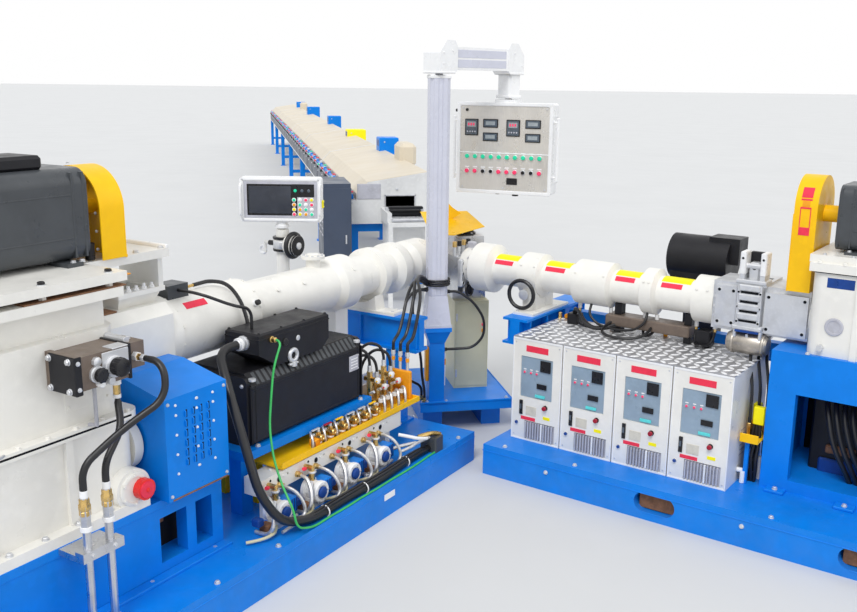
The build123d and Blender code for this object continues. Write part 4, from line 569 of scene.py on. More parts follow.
for c, s in around(12, 178):
    bolt(WHITE, (2642, s, AXIS + c), -X, 10)
box(WHITE, 2760, 2960, 374, 377, 930, 1030, 6)
bolt(WHITE, ((2775, 2945), 377, (945, 1015)), Y, 6)
Piece("left_motor_plate_nuts", LEFT, "machine_white")
studs = range(2730, 3571, 280)
bolt(PLASTIC, (studs, (-370, 370), 1400), Z, 15, SILVER)
lathe(SILVER, (studs, (-370, 370), 1344.5), Z, [(0, 23), (4, 23), (5, 20)], 18)
for k in range(9):
    bolt(CLEAN, (2292 + 41 * k, (-100, 100), 1234.6), Z, 13)
    rod(CLEAN, (2292 + 41 * k, (-100, 100), 1240), (16 + 3 * (k % 2)) * Z, 7, 10)
box(RUST, 2490, 2668, -116, 116, 1165, 1172, 2)
box(RUST, 2672, 3200, -396, -300, 1345.5, 1350, 1)
box(RUST, 2672, 3100, 300, 396, 1345.5, 1350, 1)
bolt(SILVER, ((2270, 2400, 2530), (-140, 140), 1399.6), Z, 12)
box(CLEAN, 2246, 2262, -164, 164, 1398, 1416, 4)
Piece("left_upper_motor_trim", LEFT, "motor_grey")
bars(GREY, ((2652, 2700, 3160, 3212), -174, 1428), (9, 348, 318))
bars(GREY, (2712, (-173.5, 170), (1500, 1660)), (448, 3.5, 6), 1.2)
box(BLACK, 2780, 3040, -70, 120, 1757, 1810, 12)
bolt(SILVER, ((2695, 2735, 3115, 3155), (-188, 188), 1414), Z, 11)
lathe(BLACK, (2640.5, 0, 1587), -X, [(0, 120), (5, 118), (12, 80), (14, 44)], 32)
box(PLASTIC, 2600, 2632, 120, 150, 1402, 1470, 5)
bolt(SILVER, (2583, 140, (1440, 1510, 1580)), Y, 6)
bolt(SILVER, (2583, 0, 1762), Z, 6)
box(YELLOW, 2471, 2479, -155, 178, 1396, 1410, 2)
box(ORANGE, 2650, 2760, 332, 398, 1382, 1387)

# Left barrel: strip, probes, caps and the clamp of the front pipe
Piece("left_barrel_fittings", LEFT, "machine_white")
patch(RED_STRIP, 1985, 2112, AXIS, 152, 34, 47, 1)
for c, s in around(12, 1, 0.5):
    bolt(WHITE, ((1682, 2168), 151 * s, AXIS + 151 * c), (0, s, c), 7)
lathe(WHITE, (1661, 0, AXIS), X, [(0, 146), (3, 149), (7, 149), (9, 146)], 48)
for c, s in around(10, 50):
    bolt(SILVER, (1100 + c, s, 1181), Z, 7)
lathe(WHITE, (1100, 0, 1180.5), Z, [(0, 34), (7, 34), (10, 28)], 28)
t = radians(52)
for u, side, high, r in ((900, 1, 30, 15), (1300, 1, 10, 10), (1500, 1, 10, 10), (900, -1, 30, 15)):
    foot, out = Vector((u, side * 124 * sin(t), AXIS + 124 * cos(t))), Vector((0, side * sin(t), cos(t)))
    rod(WHITE, foot - out * 2, out * (high + 2), r, 14)
t = radians(68)
foot, out = Vector((1712, 152 * sin(t), AXIS + 152 * cos(t))), Vector((0, sin(t), cos(t)))
rod(CLEAN, foot - out * 2, out * 16, 17)
rod(PLASTIC, foot + out * 12, out * 18, 13, 14)
rod(BRASS, (2006, 0, 1150), 26 * Z, 9, 6)
rod(BRASS, (2006, 0, 1170), (-46, 0, 2), 7, 10)
hose(RUBBER, 9, (1962, 0, 1172), (1920, 0, 1173), (1872, 10, 1178), (1838, 90, 1172), (1826, 158, 1100),
     (1826, 196, 1010), (1826, 200, 960), (1830, 150, 906), (1830, 116, 890))
for c, s in around(8, 129):
    bolt(WHITE, (413, s, AXIS + c), X, 10)
    bolt(WHITE, (567, s, AXIS + c), -X, 10)
box(WHITE, 600, 700, 195, 245, 815, 821, 2)
bolt(SILVER, ((618, 682), (-225, 225), 815), Z, 11)

# Black drive motor with its plate, eyes and ribs, and the terminal box with its glands
Piece("left_drive_motor_trim", LEFT, "motor_black")
bars(BLACK, ((1216, 1246, 2004, 2034), 385, 512), (7, 18, 266), 2)
box(BLACK, 1240, 2030, 398.5, 401.5, 516, 526, 1)
box(BLACK, 1240, 2030, 398.5, 402, 758, 770)
slope = Matrix.Translation((0, 377.5, 802.5)) @ Matrix.Rotation(atan2(-55, 45), 4, "X")
for u in range(1262, 2010, 34):
    box(GREY, u, u + 20, -30, 30, -1, 2.2, 1, slope)
box(LOUVRE, 1245, 1325, 399.5, 402.5, 662, 742)
lathe(SILVER, ((1251, 1319), 402, (668, 736)), Y, [(0, 3.2), (1.6, 3.2), (2.2, 2)], 10)
bars(CLEAN, (1258, 402, range(676, 722, 15)), (54, 0.8, 5), 0.2)
EYE = 1740
rod(SILVER, (EYE, 392, 800), 22 * Z, 17, 14)
rod(SILVER, ((1250, 2020), 392, 800), 12 * Z, 17, 14)
ring(SILVER, (EYE, 392, 852), Y, 26, 10)
box(SILVER, EYE - 30, EYE + 30, 384, 400, 806, 818, 4)
bolt(SILVER, (1215, (36, 364), (530, 780)), -X, 9)
bolt(SILVER, (2055, (36, 364), (530, 780)), X, 9)
lathe(BLACK, (1215.5, 200, 660), -X, [(0, 130), (6, 128), (14, 70), (16, 50)], 36)
rod(SILVER, (1202, 200, 660), -22 * X, 24, 20)
bolt(SILVER, ((1245, 2015), (-30, 410), 500), Z, 12)
Piece("terminal_box_trim", LEFT, "motor_black")
box(BLACK, 1467, 1968, 187, 391, 966, 972)
bolt(PLASTIC, ((1484, 1640, 1800, 1950), (200, 376), 994.6), Z, 7)
lathe(SILVER, (1965, 300, 947), X, [(-1, 34), (8, 34), (10, 30), (24, 30), (26, 26), (44, 26), (48, 23)], 12)
rod(CLEAN, (1990, 300, 947), 14 * X, 29, 20)
lathe(BRASS, (1885, 387, 960), Y, [(-1, 15), (9, 15), (11, 12), (28, 12), (32, 7)], 12)
lathe(SILVER, (1700, 387.5, 925), Y, [(0, 13), (3, 13), (5, 10)], 16)
lathe(PLASTIC, (1790, 387.5, 925), Y, [(0, 18), (5, 18), (8, 14)], 16)

# Louvres and screws of the blue belt cover
Piece("belt_cover_louvres", LEFT, "machine_blue")
for u, z in product(range(2386, 2507, 40), range(606, 807, 40)):
    box(SHADOW, u, u + 10, 498, 500.8, z, z + 31, 1)
    prism(BLUE, [(499, z), (506, z + 6), (506, z + 25), (499, z + 31)], "x", u + 10, u + 16)
bolt(CLEAN, ((2368, 2457, 2566), 500, (588, 668, 748, 828, 868)), Y, 5.5)
bolt(CLEAN, (2454, 500, (588, 868)), Y, 5.5)
bolt(SILVER, ((2306, 2604), 500, (505, 880)), Y, 7)
box(RUST, 2300, 2600, 452, 503, 484, 491)

# Hydraulic valve block: steel plate, valve, end flange bolts and hose fittings
Piece("hydraulic_block_fittings", LEFT, "brown_paint")
box(SILVER, 2787, 2905, 519, 524, 1060, 1160, 2)
box(SILVER, 2787, 2860, 470, 524, 1163, 1168, 2)
bolt(SILVER, (3026, (402, 502), (1050, 1155)), X, 12)
box(BLACK, 3019, 3027, 396, 531, 1036, 1172, 3)
box(BLACK, 2997, 3027, 528, 532, 1036, 1172)
bolt(SILVER, (3012, 531.5, (1058, 1150)), Y, 8)
box(BLACK, 2780, 2792, 372, 526, 1040, 1170, 2)
bolt(SILVER, (2780, (400, 500), 1152), -X, 9)
for u, z, r, deep, rib in ((2860, 1107, 33, 35, 27), (2932, 1093, 26, 15, 8)):
    lathe(SILVER, (u, 519, z), Y, [(0, r + 4), (10, r + 4), (12, r), (22, r)], 24)
    lathe(PLASTIC, (u, 541, z), Y, [(0, r * 0.96), (deep, r * 0.96), (deep + 3, r * 0.8)], 24)
    for c, s in around(10, r * 0.9):
        rod(PLASTIC, (u + c, 548, z + s), rib * Y, 4.5, 8)
lathe(SILVER, (2932, 519, 1138), Y, [(0, 17), (14, 17), (17, 12)], 8)
rod(SILVER, (2890, 519, 1062), 33 * Y, 14, 8)
rod(CLEAN, (2925, 519, 1058), 26 * Y, 12, 12)
rod(CLEAN, (2825, 490, 1045), -23 * Z, 17, 6)
rod(BRASS, (2825, 490, 1026), -41 * Z, 13, 6)
rod(CLEAN, (2825, 490, 986), -14 * Z, 14, 14)
rod(CLEAN, (2745, 499, 1110), 23 * Y, 17, 6)
rod(BRASS, (2745, 518, 1110), 28 * Y, 13, 6)
rod(SILVER, (2745, 540, 1110), 16 * Y, 15, 6)
rod(SILVER, (2760, 375, 1168), 105 * Y, 14, 10)
bolt(SILVER, ((2720, 2760), 440, 1160), Z, 10)
risers = (2955, 3050)
lathe(BRASS, (risers, 560, 640), Z, [(0, 18), (4, 21), (24, 21), (28, 18), (44, 18), (50, 14)], 6)
rod(CLEAN, (risers, 560, 688), 28 * Z, 14)
rod(CLEAN, (risers, 560, 566), 18 * Z, 21, 12)
rod(BRASS, (risers, 560, 624), 17 * Z, 20, 6)
lathe(SILVER, (risers, 560, 169.5), Z, [(0, 32), (8, 32), (12, 22), (30, 22)], 20)
bolt(SILVER, (risers, 585, 480), Y, 9)
lathe(RED_STRIP, (2708, 479, 571), Y, [(0, 34), (6, 32), (8, 12)], 16)
lathe(RED, (2708, 486, 571), Y, [(0, 9), (4, 9), (6, 6)], 12)

# Water set: manifold screws, pump rings and caps, elbows, braided pipes, tray valves
Piece("left_pump_fittings", LEFT, "pale_grey")
for x in range(1295, 2058, 254):
    lathe(CLEAN, (x, 511, 248), Y, [(0, 40), (2, 54), (22, 56), (26, 50)], 28)
    lathe(CLEAN, (x, 575, 248), Y, [(0, 47), (3, 51), (20, 51), (24, 47), (24, 33), (16, 31)], 28)
    lathe(DEEP, (x, 594, 248), Y, [(0, 27), (12, 27), (16, 22), (17, 10)], 20)
    box(BLUE, x - 100, x - 26, 514, 580, 212, 286, 5)
    bars(DEEP, (range(x - 96, x - 35, 15), 578, 216), (6, 6, 66))
    for c, s in around(6, 41):
        bolt(SILVER, (x + c, 599, 248 + s), Y, 5)
    rod(BRASS, (x, 540, 292), 38 * Z, 14, 6)
    ring(SILVER, (x, 540, 334), Z, 15, 6, 18, 8)
    rod(BRASS, (x, 499, 352), 49 * Y, 12, 12)
    rod(BRASS, (x, 540, 330), 26 * Z, 12, 12)
    rod(RED_STRIP, (x + 22, 520, 352), (22, 8, 8), 9, 10)
    hose(BRAID, 9, (x + 60, 499, 336), (x + 60, 530, 336), (x + 66, 572, 326), (x + 84, 606, 280),
         (x + 104, 618, 224), (x + 110, 596, 190), (x + 110, 560, 182), (x + 110, 520, 182))
    hose(BRAID, 8, (x - 70, 499, 330), (x - 70, 548, 330), (x - 80, 596, 312), (x - 96, 622, 262),
         (x - 100, 626, 216), (x - 60, 628, 196), (x + 10, 630, 190), (x + 60, 628, 186))
    for q, z in ((x + 60, 336), (x - 70, 330)):
        lathe(BRASS, (q, 498, z), Y, [(0, 15), (14, 15), (17, 12), (30, 12)], 6)
    hose(KHAKI, 7, (x + 20, 560, 186), (x + 70, 600, 188), (x + 110, 616, 192), (x + 170, 600, 188),
         (x + 214, 560, 184))
    rod(BROWN, (x - 30, 520, 292), (54, 14, 14), 10, 10)
    rod(BRASS, (x - 34, 514, 292), 48 * Z, 8, 6)
    box(RUST, x + 46, x + 90, 520, 572, 172, 210, 4)
    box(DEEP, x + 96, x + 134, 516, 560, 214, 250, 5)
    rod(SILVER, (x + 30, 560, 300), (44, 30, -24), 9, 10)
hose(BRAID, 9, (1060, 632, 252), (1110, 600, 250), (1160, 560, 240), (1190, 540, 230))
hose(CLEAN, 9, (1120, 560, 300), (1090, 610, 290), (1040, 640, 268), (985, 650, 256))
hose(BRAID, 8, (1180, 610, 236), (1120, 636, 246), (1060, 640, 256), (960, 648, 252))
hose(BRASS, 12, (1010, 610, 262), (960, 640, 272), (900, 660, 262), (882, 668, 250))
rod(SILVER, (range(1180, 1941, 190), 560, 180), (60, 12, 4), 9, 10)
Piece("cable_bundle_leads", LEFT, "hose_rubber")
for v, z, r in ((612, 179, 8), (596, 177, 6), (628, 178, 7), (650, 216, 7), (634, 206, 6), (664, 213, 6)):
    hose(RUBBER, r, (952, 640, 192), (1010, 0.5 * v + 320, z), (1130, v - 12, z), (1400, v + 5, z),
         (1700, v, z), (1930, v + 8, z), (2030, 0.4 * v + 394, 0.4 * z + 122), (2110, 655, 236))
for u, v in ((1180, 642), (1560, 657), (1860, 658)):
    ring(CLEAN, (u, v, 191.5), X, 27, 3, 28, 8)
Piece("left_water_manifold_screws", LEFT, "machine_white")
for x in range(1200, 1987, 262):
    lathe(SILVER, (x, 500.4, 355), Y, [(-1, 15), (1, 15), (1, 12.5), (-8, 12.5)], 18)
    bolt(CLEAN, (x - 30, 500, 361), Y, 6)
    lathe(SHADOW, (x, 500.6, 355), Y, [(0, 12), (1.2, 12)], 16)
    lathe(SHADOW, (x + 56, 500.2, 366), Y, [(0, 6), (1, 6)], 12)
    bolt(CLEAN, (x + 90, 500, 345), Y, 8)
bolt(CLEAN, (range(1040, 2090, 105), 450, 385), Z, 7)
Piece("tray_valve_fittings", LEFT, "brass_fittings")
for i in range(6):
    x = 1195 + 92 * i
    rod(SILVER, (x, 462, 465), 16 * Z, 8, 10)
    box(YELLOW if i % 3 == 0 else (WINE if i == 4 else SILVER), x - 8, x + 48, 455, 469, 480, 486, 2.5)
    ring(BRASS, (x, 486, 441), Y, 12, 5, 18, 8)
    lathe(CLEAN, (x, 462, 412), Z, [(0, 18), (5, 18), (7, 15)], 16)
    rod(BRASS, (x + 30, 440, 405), 42 * Z, 9, 6)
    rod(SILVER, (x + 30, 440, 445), (-22, 6, 4), 8, 8)
    rod(BROWN, (x + 48, 470, 405), 26 * Z, 11, 8)
    hose(BRAID, 6, (x + 30, 440, 445), (x + 30, 440, 465), (x + 40, 446, 471), (x + 55, 470, 455),
         (x + 60, 478, 425), (x + 60, 480, 405))
box(ORANGE, 1660, 1700, 440, 480, 405, 440, 5)
box(ORANGE, 1330, 1362, 420, 446, 405, 446, 5)
Piece("valve_cluster_fittings", LEFT, "brass_fittings")
PROBES = (350, 396, 442)
for i in range(4):
    x, z = 915 + 64 * i, 515 + 50 * (i % 2)
    top = z + 40
    lathe(CLEAN, (x, 411, z), Y, [(-2, 13), (8, 17), (18, 17), (21, 12)], 8)
    rod(YELLOW if i % 2 else RED_STRIP, (x - 22, 426, z), 44 * X, 4.5, 10)
    rod(SILVER, (x, 370, top - 2), 36 * Z, 12, 6)
    hose(RUBBER, 8, (x, 370, top + 30), (x, 370, top + 70), (x + 20, 352, top + 120),
         (x + 60, 300, top + 130), (x + 90, 250, top + 60), (x + 96, 236, top - 20), (x + 96, 236, 424),
         (x + 96, 236, 404))
    rod(BRASS, (x + 30, 395, 465), 35 * Z, 11, 6)
    rod(SILVER, (x + 30, 395, 498), (0, 25, 14), 8, 10)
    rod(BROWN, (x - 20, 415, 423), (0, 35, 22), 9, 10)
    bolt(CLEAN, (x + 4, 420, 436), Y, 10)
    rod(BRASS, (x, 440, 405), 47 * Z, 10, 6)
    rod(CLEAN, (x, 440, 450), 20 * Z, 13, 8)
    hose(BRAID, 7, (x, 440, 466), (x, 444, 486), (x + 14, 470, 492), (x + 30, 486, 460), (x + 34, 490, 430),
         (x + 34, 490, 404))
box(SILVER, 880, 1120, 200, 316, 404, 520, 6)
box(PLATE, 896, 1000, 315, 318, 430, 500, 2)
box(ORANGE, 852, 876, 330, 470, 404, 560, 5)
rod(SILVER, (858, PROBES, 560), 80 * Z, 8, 12)
rod(ORANGE, (858, PROBES, 606), 22 * Z, 10, 12)

# Leads from the pendant's foot over the cross beam to the three probes of the valve cluster
Piece("pendant_foot_leads", LEFT, "hose_rubber")
for k, v in enumerate(PROBES):
    hose(RUBBER, 9, (378, 254 + 6 * k, 930 + 8 * k), (450, 262 + 8 * k, 968 + 14 * k),
         (570 + 10 * k, 290 + 16 * k, 984 + 16 * k), (700, v - 16, 930 + 12 * k), (752, v - 4, 840),
         (800, v, 745 - 10 * k), (856, v, 712), (858, v, 690), (858, v, 636))
rod(SILVER, (858, PROBES, 636), 26 * Z, 12, 6)

# Rubber covers over the two riser hoses, a little thicker than the hoses inside and slim at their ferrules
Piece("riser_hose_covers", LEFT, "hose_rubber")
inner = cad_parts["left_hoses"]
back = LEFT.inverted() @ inner.matrix_world
ferrules = ((Vector((2825, 490, 1045)), 76), (Vector((2745, 499, 1110)), 60))
cover, kept = [], {}
for vertex in inner.data.vertices:
    place = back @ vertex.co
    if place.x > 2300:
        clear = min((place - end).length - reach for end, reach in ferrules)
        swell = 4.9 * min(1, max(0, clear / 8)) - 0.4
        kept[vertex.index] = len(cover)
        cover.append(place + (back.to_3x3() @ vertex.normal).normalized() * swell)
add(RUBBER, cover, [[kept[i] for i in face.vertices] for face in inner.data.polygons
                    if all(i in kept for i in face.vertices)])

# Pendant: grooves of the column, foot bolts, glands, caps of the arm
Piece("pendant_column_trim", COLUMN, "machine_white")
for k in range(4):
    turn = Matrix.Rotation(pi / 2 * k, 4, "Z")
    for x0, x1 in ((-38, -14), (-10, 10), (14, 38)):
        box(LILAC, x0, x1, -58, -55.4, 862, 2113, 1.2, turn)
    bolt(SILVER, (66, -66, 685), Z, 9)
    for x in (-66, 66):
        box(CLEAN, x - 8, x + 8, -72, -60, 684, 689, 1, turn)
box(CLEAN, -60, 60, -60, 60, 2098, 2118, 4)
for x, y, z, way in ((56, -15, 875, X), (-56, 5, 885, -X), (-56, -25, 895, -X)):
    lathe(PLASTIC, (x, y, z), way, [(-2, 14), (7, 14), (9, 11), (20, 11), (22, 9)], 12)
lathe(PLASTIC, (46, -10, 520), X, [(-1, 14), (7, 14), (9, 11), (20, 11)], 12)
for x, y in ((-82, 15), (-72, -30)):
    lathe(BRASS, (x, y, 199.6), Z, [(0, 15), (12, 15), (14, 11), (30, 11)], 6)
Piece("pendant_bracket_trim", COLUMN, "machine_blue")
box(ORANGE, -66, -44, -30, 20, 330, 540, 4)
box(CLEAN, 46, 54, -34, -12, 300, 430, 3)
rod(ORANGE, (50, -23, 428), 38 * Z, 8, 12)
rod(CLEAN, (50, -23, 464), 34 * Z, 6, 12)
box(BLUE, -70, 70, -64, 64, 199, 209, 2)
bolt(SILVER, ((-58, 58), (-52, 52), 209), Z, 8)
bolt(SILVER, ((-66.7, 66.7), (-65, 65), 644), -Z, 8)
Piece("pendant_arm_caps", ARM, "machine_white", "pendant_arm")
bars(CLEAN, ((76, 527), -58, 2143), (14, 116, 133), 4)
box(CLEAN, -66, 66, -67, 67, 2125, 2139, 4)
box(CLEAN, 551, 683, -65, 65, 2125, 2139, 4)
bars(LILAC, (96, (-55.5, 52.5), (2160, 2214)), (424, 3, 44), 1.2)
for side in (-1, 1):
    bolt(CLEAN, (-30, side * 64, (2180, 2240)), side * Y, 6)
    bolt(CLEAN, (40, side * 64, 2250), side * Y, 6)
    bolt(CLEAN, (590, side * 62, 2250), side * Y, 6)
    bolt(CLEAN, (660, side * 62, 2180), side * Y, 6)
box(CLEAN, 561, 673, -56, 56, 1988, 2004, 4)

# Face of the control box
Piece("control_box_face", STATION, "machine_white", "control_box")
FRONT = -75
box(FACE, -281, 281, FRONT + 3.4, FRONT + 7, 1431, 1941, 3)
for x0, x1, z0, z1 in ((-301, 301, 1942, 1961), (-301, 301, 1411, 1430), (-301, -282, 1429, 1943),
                       (282, 301, 1429, 1943)):
    box(CLEAN, x0, x1, FRONT - 3, FRONT + 2, z0, z1, 3)
box(CLEAN, -281, 281, FRONT + 1.6, FRONT + 3.8, 1655, 1661, 0.8)


def spot(fx, fy):
    """Point on the face from shares of its width and height."""
    return -281 + 562 * fx, 1941 - 510 * fy


for fx in (0.13, 0.60):
    x, z = spot(fx, 0.255)
    box(PLASTIC, x - 43, x + 43, FRONT - 3, FRONT + 4, z - 50, z + 50, 3)
    box(METER, x - 37, x + 37, FRONT - 5, FRONT - 2, z - 44, z + 44, 3)
    box(GLASS, x - 28, x + 28, FRONT - 5.8, FRONT - 4.6, z + 2, z + 34, 1)
    bars(RED_LAMP, ((x - 22, x - 6, x + 10), FRONT - 6.2, z + 10), (10, 0.8, 16), 0.3)
    rod(LOUVRE, ((x - 24, x - 8, x + 8, x + 24), FRONT - 5, z - 26), -3 * Y, 5, 12)
for fx, fy in product((0.345, 0.82), (0.205, 0.365)):
    x, z = spot(fx, fy)
    box(PLASTIC, x - 48, x + 48, FRONT - 3, FRONT + 4, z - 26, z + 26, 3)
    box(METER, x - 42, x + 42, FRONT - 5, FRONT - 2, z - 20, z + 20, 2)
    box(GLASS, x - 30, x + 30, FRONT - 5.6, FRONT - 4.6, z - 10, z + 12, 1)
for k in range(10):
    switch = k in (2, 3, 7, 8)
    for kind, fy in ((GREEN_LAMP, 0.60), (PLASTIC if switch else RED_LAMP, 0.775)):
        x, z = spot(0.085 + 0.091 * k, fy)
        lathe(SILVER, (x, FRONT + 4, z), -Y, [(0, 15.5), (3, 15.5), (5, 13), (5, 11)])
        if kind == PLASTIC:
            lathe(kind, (x, FRONT + 1, z), -Y, [(0, 11), (6, 11), (8, 9)], 16)
            box(kind, x - 3, x + 3, FRONT - 16, FRONT - 5, z - 11, z + 11)
        else:
            lathe(kind, (x, FRONT + 1, z), -Y, [(0, 13), (8, 13), (11, 10), (12, 4)], 16)
        box(CLEAN, x - 14, x + 14, FRONT + 2.4, FRONT + 3.6, z + 20, z + 28, 0.4)
for fx, fy in ((0.03, 0.03), (0.97, 0.03), (0.03, 0.97), (0.97, 0.97), (0.5, 0.97)):
    x, z = spot(fx, fy)
    bolt(SILVER, (x, FRONT + 3.6, z), -Y, 6)
x, z = spot(0.075, 0.05)
lathe(PLASTIC, (x, FRONT + 4, z), -Y, [(0, 9), (8, 9), (10, 6)], 14)
x, z = spot(0.60, 0.885)
box(PLASTIC, x - 34, x + 34, FRONT - 2, FRONT + 4, z - 20, z + 20, 3)
for s in (-1, 1):
    lathe(CLEAN, (s * 299, -45, (1522, 1850)), s * X, [(0, 15), (4, 15), (7, 11)], 18)
    lathe(CLEAN, (s * 328, -45, 1502), -Z, [(-4, 10), (3, 10), (7, 7)], 14)
    lathe(CLEAN, (s * 328, -45, 1870), Z, [(-4, 10), (3, 10), (7, 7)], 14)
bars(CLEAN, ((-303, 297), -60, (1480, 1880)), (6, 120, 12))
box(PLASTIC, -330, -299, -30, -10, 1900, 1918, 3)
rod(PLASTIC, (60, 0, 1413), -19 * Z, 20)
rod(PLASTIC, (-60, 20, 1413), -15 * Z, 14)
box(CLEAN, -240, 240, 74, 78, 1450, 1920, 6)
bolt(SILVER, ((-210, 210), 78, (1480, 1890)), Y, 7)

# Face of the operator panel, and its post
Piece("operator_panel_face", PANEL, "machine_white", "operator_panel")
FRONT = -40
for x0, x1, z0, z1 in ((-212, 212, 1530, 1544), (-212, 212, 1302, 1316), (-226, -208, 1318, 1528),
                       (208, 226, 1318, 1528)):
    box(CLEAN, x0, x1, FRONT - 5, FRONT + 1, z0, z1, 4)
box(LOUVRE, -206, 206, FRONT - 1.5, FRONT + 0.6, 1320, 1526, 3)
box(PLASTIC, -190, 96, FRONT - 2.5, FRONT + 4.5, 1333, 1513, 4)
box(SCREEN, -178, 60, FRONT - 4, FRONT - 1.5, 1346, 1500, 2)
box(PLASTIC, 66, 190, FRONT - 4, FRONT - 0.5, 1440, 1512, 3)
for a, b in product(range(4), range(4)):
    x, z = 76 + 33 * a, 1424 - 27 * b
    kind = (GREEN_LAMP, RED_LAMP, ORANGE, CLEAN, YELLOW_STRIP)[(a * 3 + b * 2) % 5]
    lathe(CLEAN, (x, FRONT - 1, z), -Y, [(0, 12), (2, 12), (3, 10)], 14)
    lathe(kind, (x, FRONT - 3, z), -Y, [(0, 8.5), (4, 8.5), (6, 5)], 14)
for a in range(3):
    lathe(METER if a else GREEN_LAMP, (84 + 38 * a, FRONT - 3.6, 1476), -Y, [(0, 9), (4, 9), (5, 7)], 14)
for x in (-222, 222):
    hose(CLEAN, 7, (x, FRONT + 16, 1512), (x, FRONT - 16, 1512), (x, FRONT - 24, 1490), (x, FRONT - 24, 1350),
         (x, FRONT - 16, 1334), (x, FRONT + 16, 1334))
box(YELLOW_STRIP, 226, 240, FRONT + 14, FRONT + 50, 1376, 1420, 4)
box(PLASTIC, 228, 242, FRONT + 22, FRONT + 42, 1386, 1410, 3)
bolt(SILVER, ((-212, 212), FRONT - 5, (1309, 1537)), -Y, 5)
box(CLEAN, -180, 180, 39, 43, 1330, 1516, 5)
lathe(CLEAN, (0, 0, 1262), Z, [(0, 40), (14, 40), (20, 34)], 24)
Piece("panel_post_fittings", LEFT, "bare_steel")
u, v = 850, -420
lathe(PLASTIC, (u, v, (1128, 1196)), Z, [(0, 55), (8, 57), (14, 55)], 28)
lathe(SILVER, (u, v, 1144), Z, [(0, 52), (4, 54), (38, 54), (42, 52)], 28)
box(SILVER, u - 80, u - 46, v - 24, v + 24, 1150, 1180, 4)
bolt(SILVER, (u - 64, v + 24, 1165), Y, 10)
ring(RUBBER, (u, v + 78, 1165), Y, 66, 13, 36, 12)
ring(PLASTIC, (u, v + 104, 1165), Y, 56, 7, 30, 8)
lathe(BLACK, (u, v + 110, 1165), Y, [(0, 57), (3, 57), (5, 50)], 30)
lathe(SILVER, (u, v + 113, 1165), Y, [(0, 20), (8, 20), (11, 14)])
ring(CLEAN, (u, v - 150, 1120), X, 22, 8, 22, 8)
rod(RUBBER, (u, v - 60, 1165), -40 * Y, 15, 12)
for c, s in around(4, 62, 0.5):
    bolt(SILVER, (u + c, v + s, 182), Z, 9)

# Crosshead: screws, heater, probes, hydraulic clamp and platform trim
Piece("crosshead_fittings", PLAN, "bare_steel")
for x, y in ((20, 40), (150, -270), (290, -130), (390, -20), (400, 160), (140, 170), (0, 110)):
    bolt(SILVER, (x, y, 1060), Z, 14)
lathe(BLACK, (265, 10, 1149), Z, [(0, 66), (8, 66), (10, 52), (34, 52), (38, 46), (38, 30)], 32)
for c, s in around(6, 58):
    bolt(SILVER, (265 + c, 10 + s, 1157), Z, 7)
for c, s in around(8, 62):
    bolt(SILVER, (330 + c, 310, AXIS + s), Y, 9)
Piece("crosshead_near_fittings", PLAN, "bare_steel")
for k, (x, y) in enumerate(((130, -296), (166, -262), (202, -228), (238, -192))):
    bolt(SILVER, (x + 12, y - 14, 1060), Z, 13)
    rod(SILVER, (x, y, 1060), (60 + 18 * (k % 2)) * Z, 11, 12)
    rod(PLASTIC if k % 2 else BRASS, (x, y, 1118), 32 * Z, 14, 8)
near = Matrix.Translation((190, -292, 0)) @ Matrix.Rotation(radians(43), 4, "Z")
toward = near.to_3x3() @ -Y
box(SILVER, -60, 60, -24, 10, 880, 1050, 8, near)
box(LOUVRE, 62, 98, -30, 22, 850, 1140, 6, near)
for z, x in product((905, 965, 1025), (-40, 40)):
    lathe(SHADOW, near @ Vector((x, -24, z)), toward, [(-2, 9), (1.5, 9)], 14)
    ring(SILVER, near @ Vector((x, -25, z)), toward, 11, 2.5, 18, 6)
for z in (930, 990):
    rod(SILVER, near @ Vector((0, -22, z)), 38 * toward, 15, 8)
    rod(BRASS, near @ Vector((0, -58, z)), 16 * toward, 12, 6)
rod(BLACK, near @ Vector((20, -24, 880)), -50 * Z, 22)
ring(RUBBER, near @ Vector((-6, -46, 866)), (0.7, -0.7, 0.1), 40, 7, 26, 8)
for x, z in product((70, 88), (880, 940, 1000, 1060, 1110)):
    bolt(SILVER, near @ Vector((x, -30, z)), toward, 6)
Piece("head_cabinet_trim", PLAN, "khaki_paint")
box(KHAKI, 168, 367, -204, -199, 212, 748, 3)
rod(SILVER, (172, -206, (276, 636)), 48 * Z, 6, 10)
box(ORANGE, 330, 346, -212, -203, 560, 584, 3)
lathe(RED_LAMP, (338, -205, 610), -Y, [(0, 9), (7, 9), (9, 6)], 14)
box(BLUE, -104, 474, -459, -450, 192, 204, 2)
box(BLUE, 466, 474, -456, 262, 192, 204, 2)
bolt(SILVER, ((-80, 440), (-430, 230), 200), Z, 11)
Piece("left_beam_trim", LEFT, "machine_blue")
bolt(SILVER, ((575, 715), (-360, -240, 180, 300), 182), Z, 9)
bars(BLUE, (612, (-200, 0, 380), 626), (76, 10, 158), 2)
Piece("right_beam_trim", RIGHT, "machine_blue")
ring(RUBBER, (800, -150, 905.3), Y, 80, 11.2)
bars(BLUE, (778, (-250, -60, 150, 400), 664), (149, 10, 122), 2)
bolt(SILVER, (800, (-185, 185), 814), Z, 10)
lathe(SILVER, (803, -128, 900), -Y, [(0, 30), (6, 30), (8, 24)], 24)
rod(CLEAN, (803, -105, 900), -27 * Y, 18)

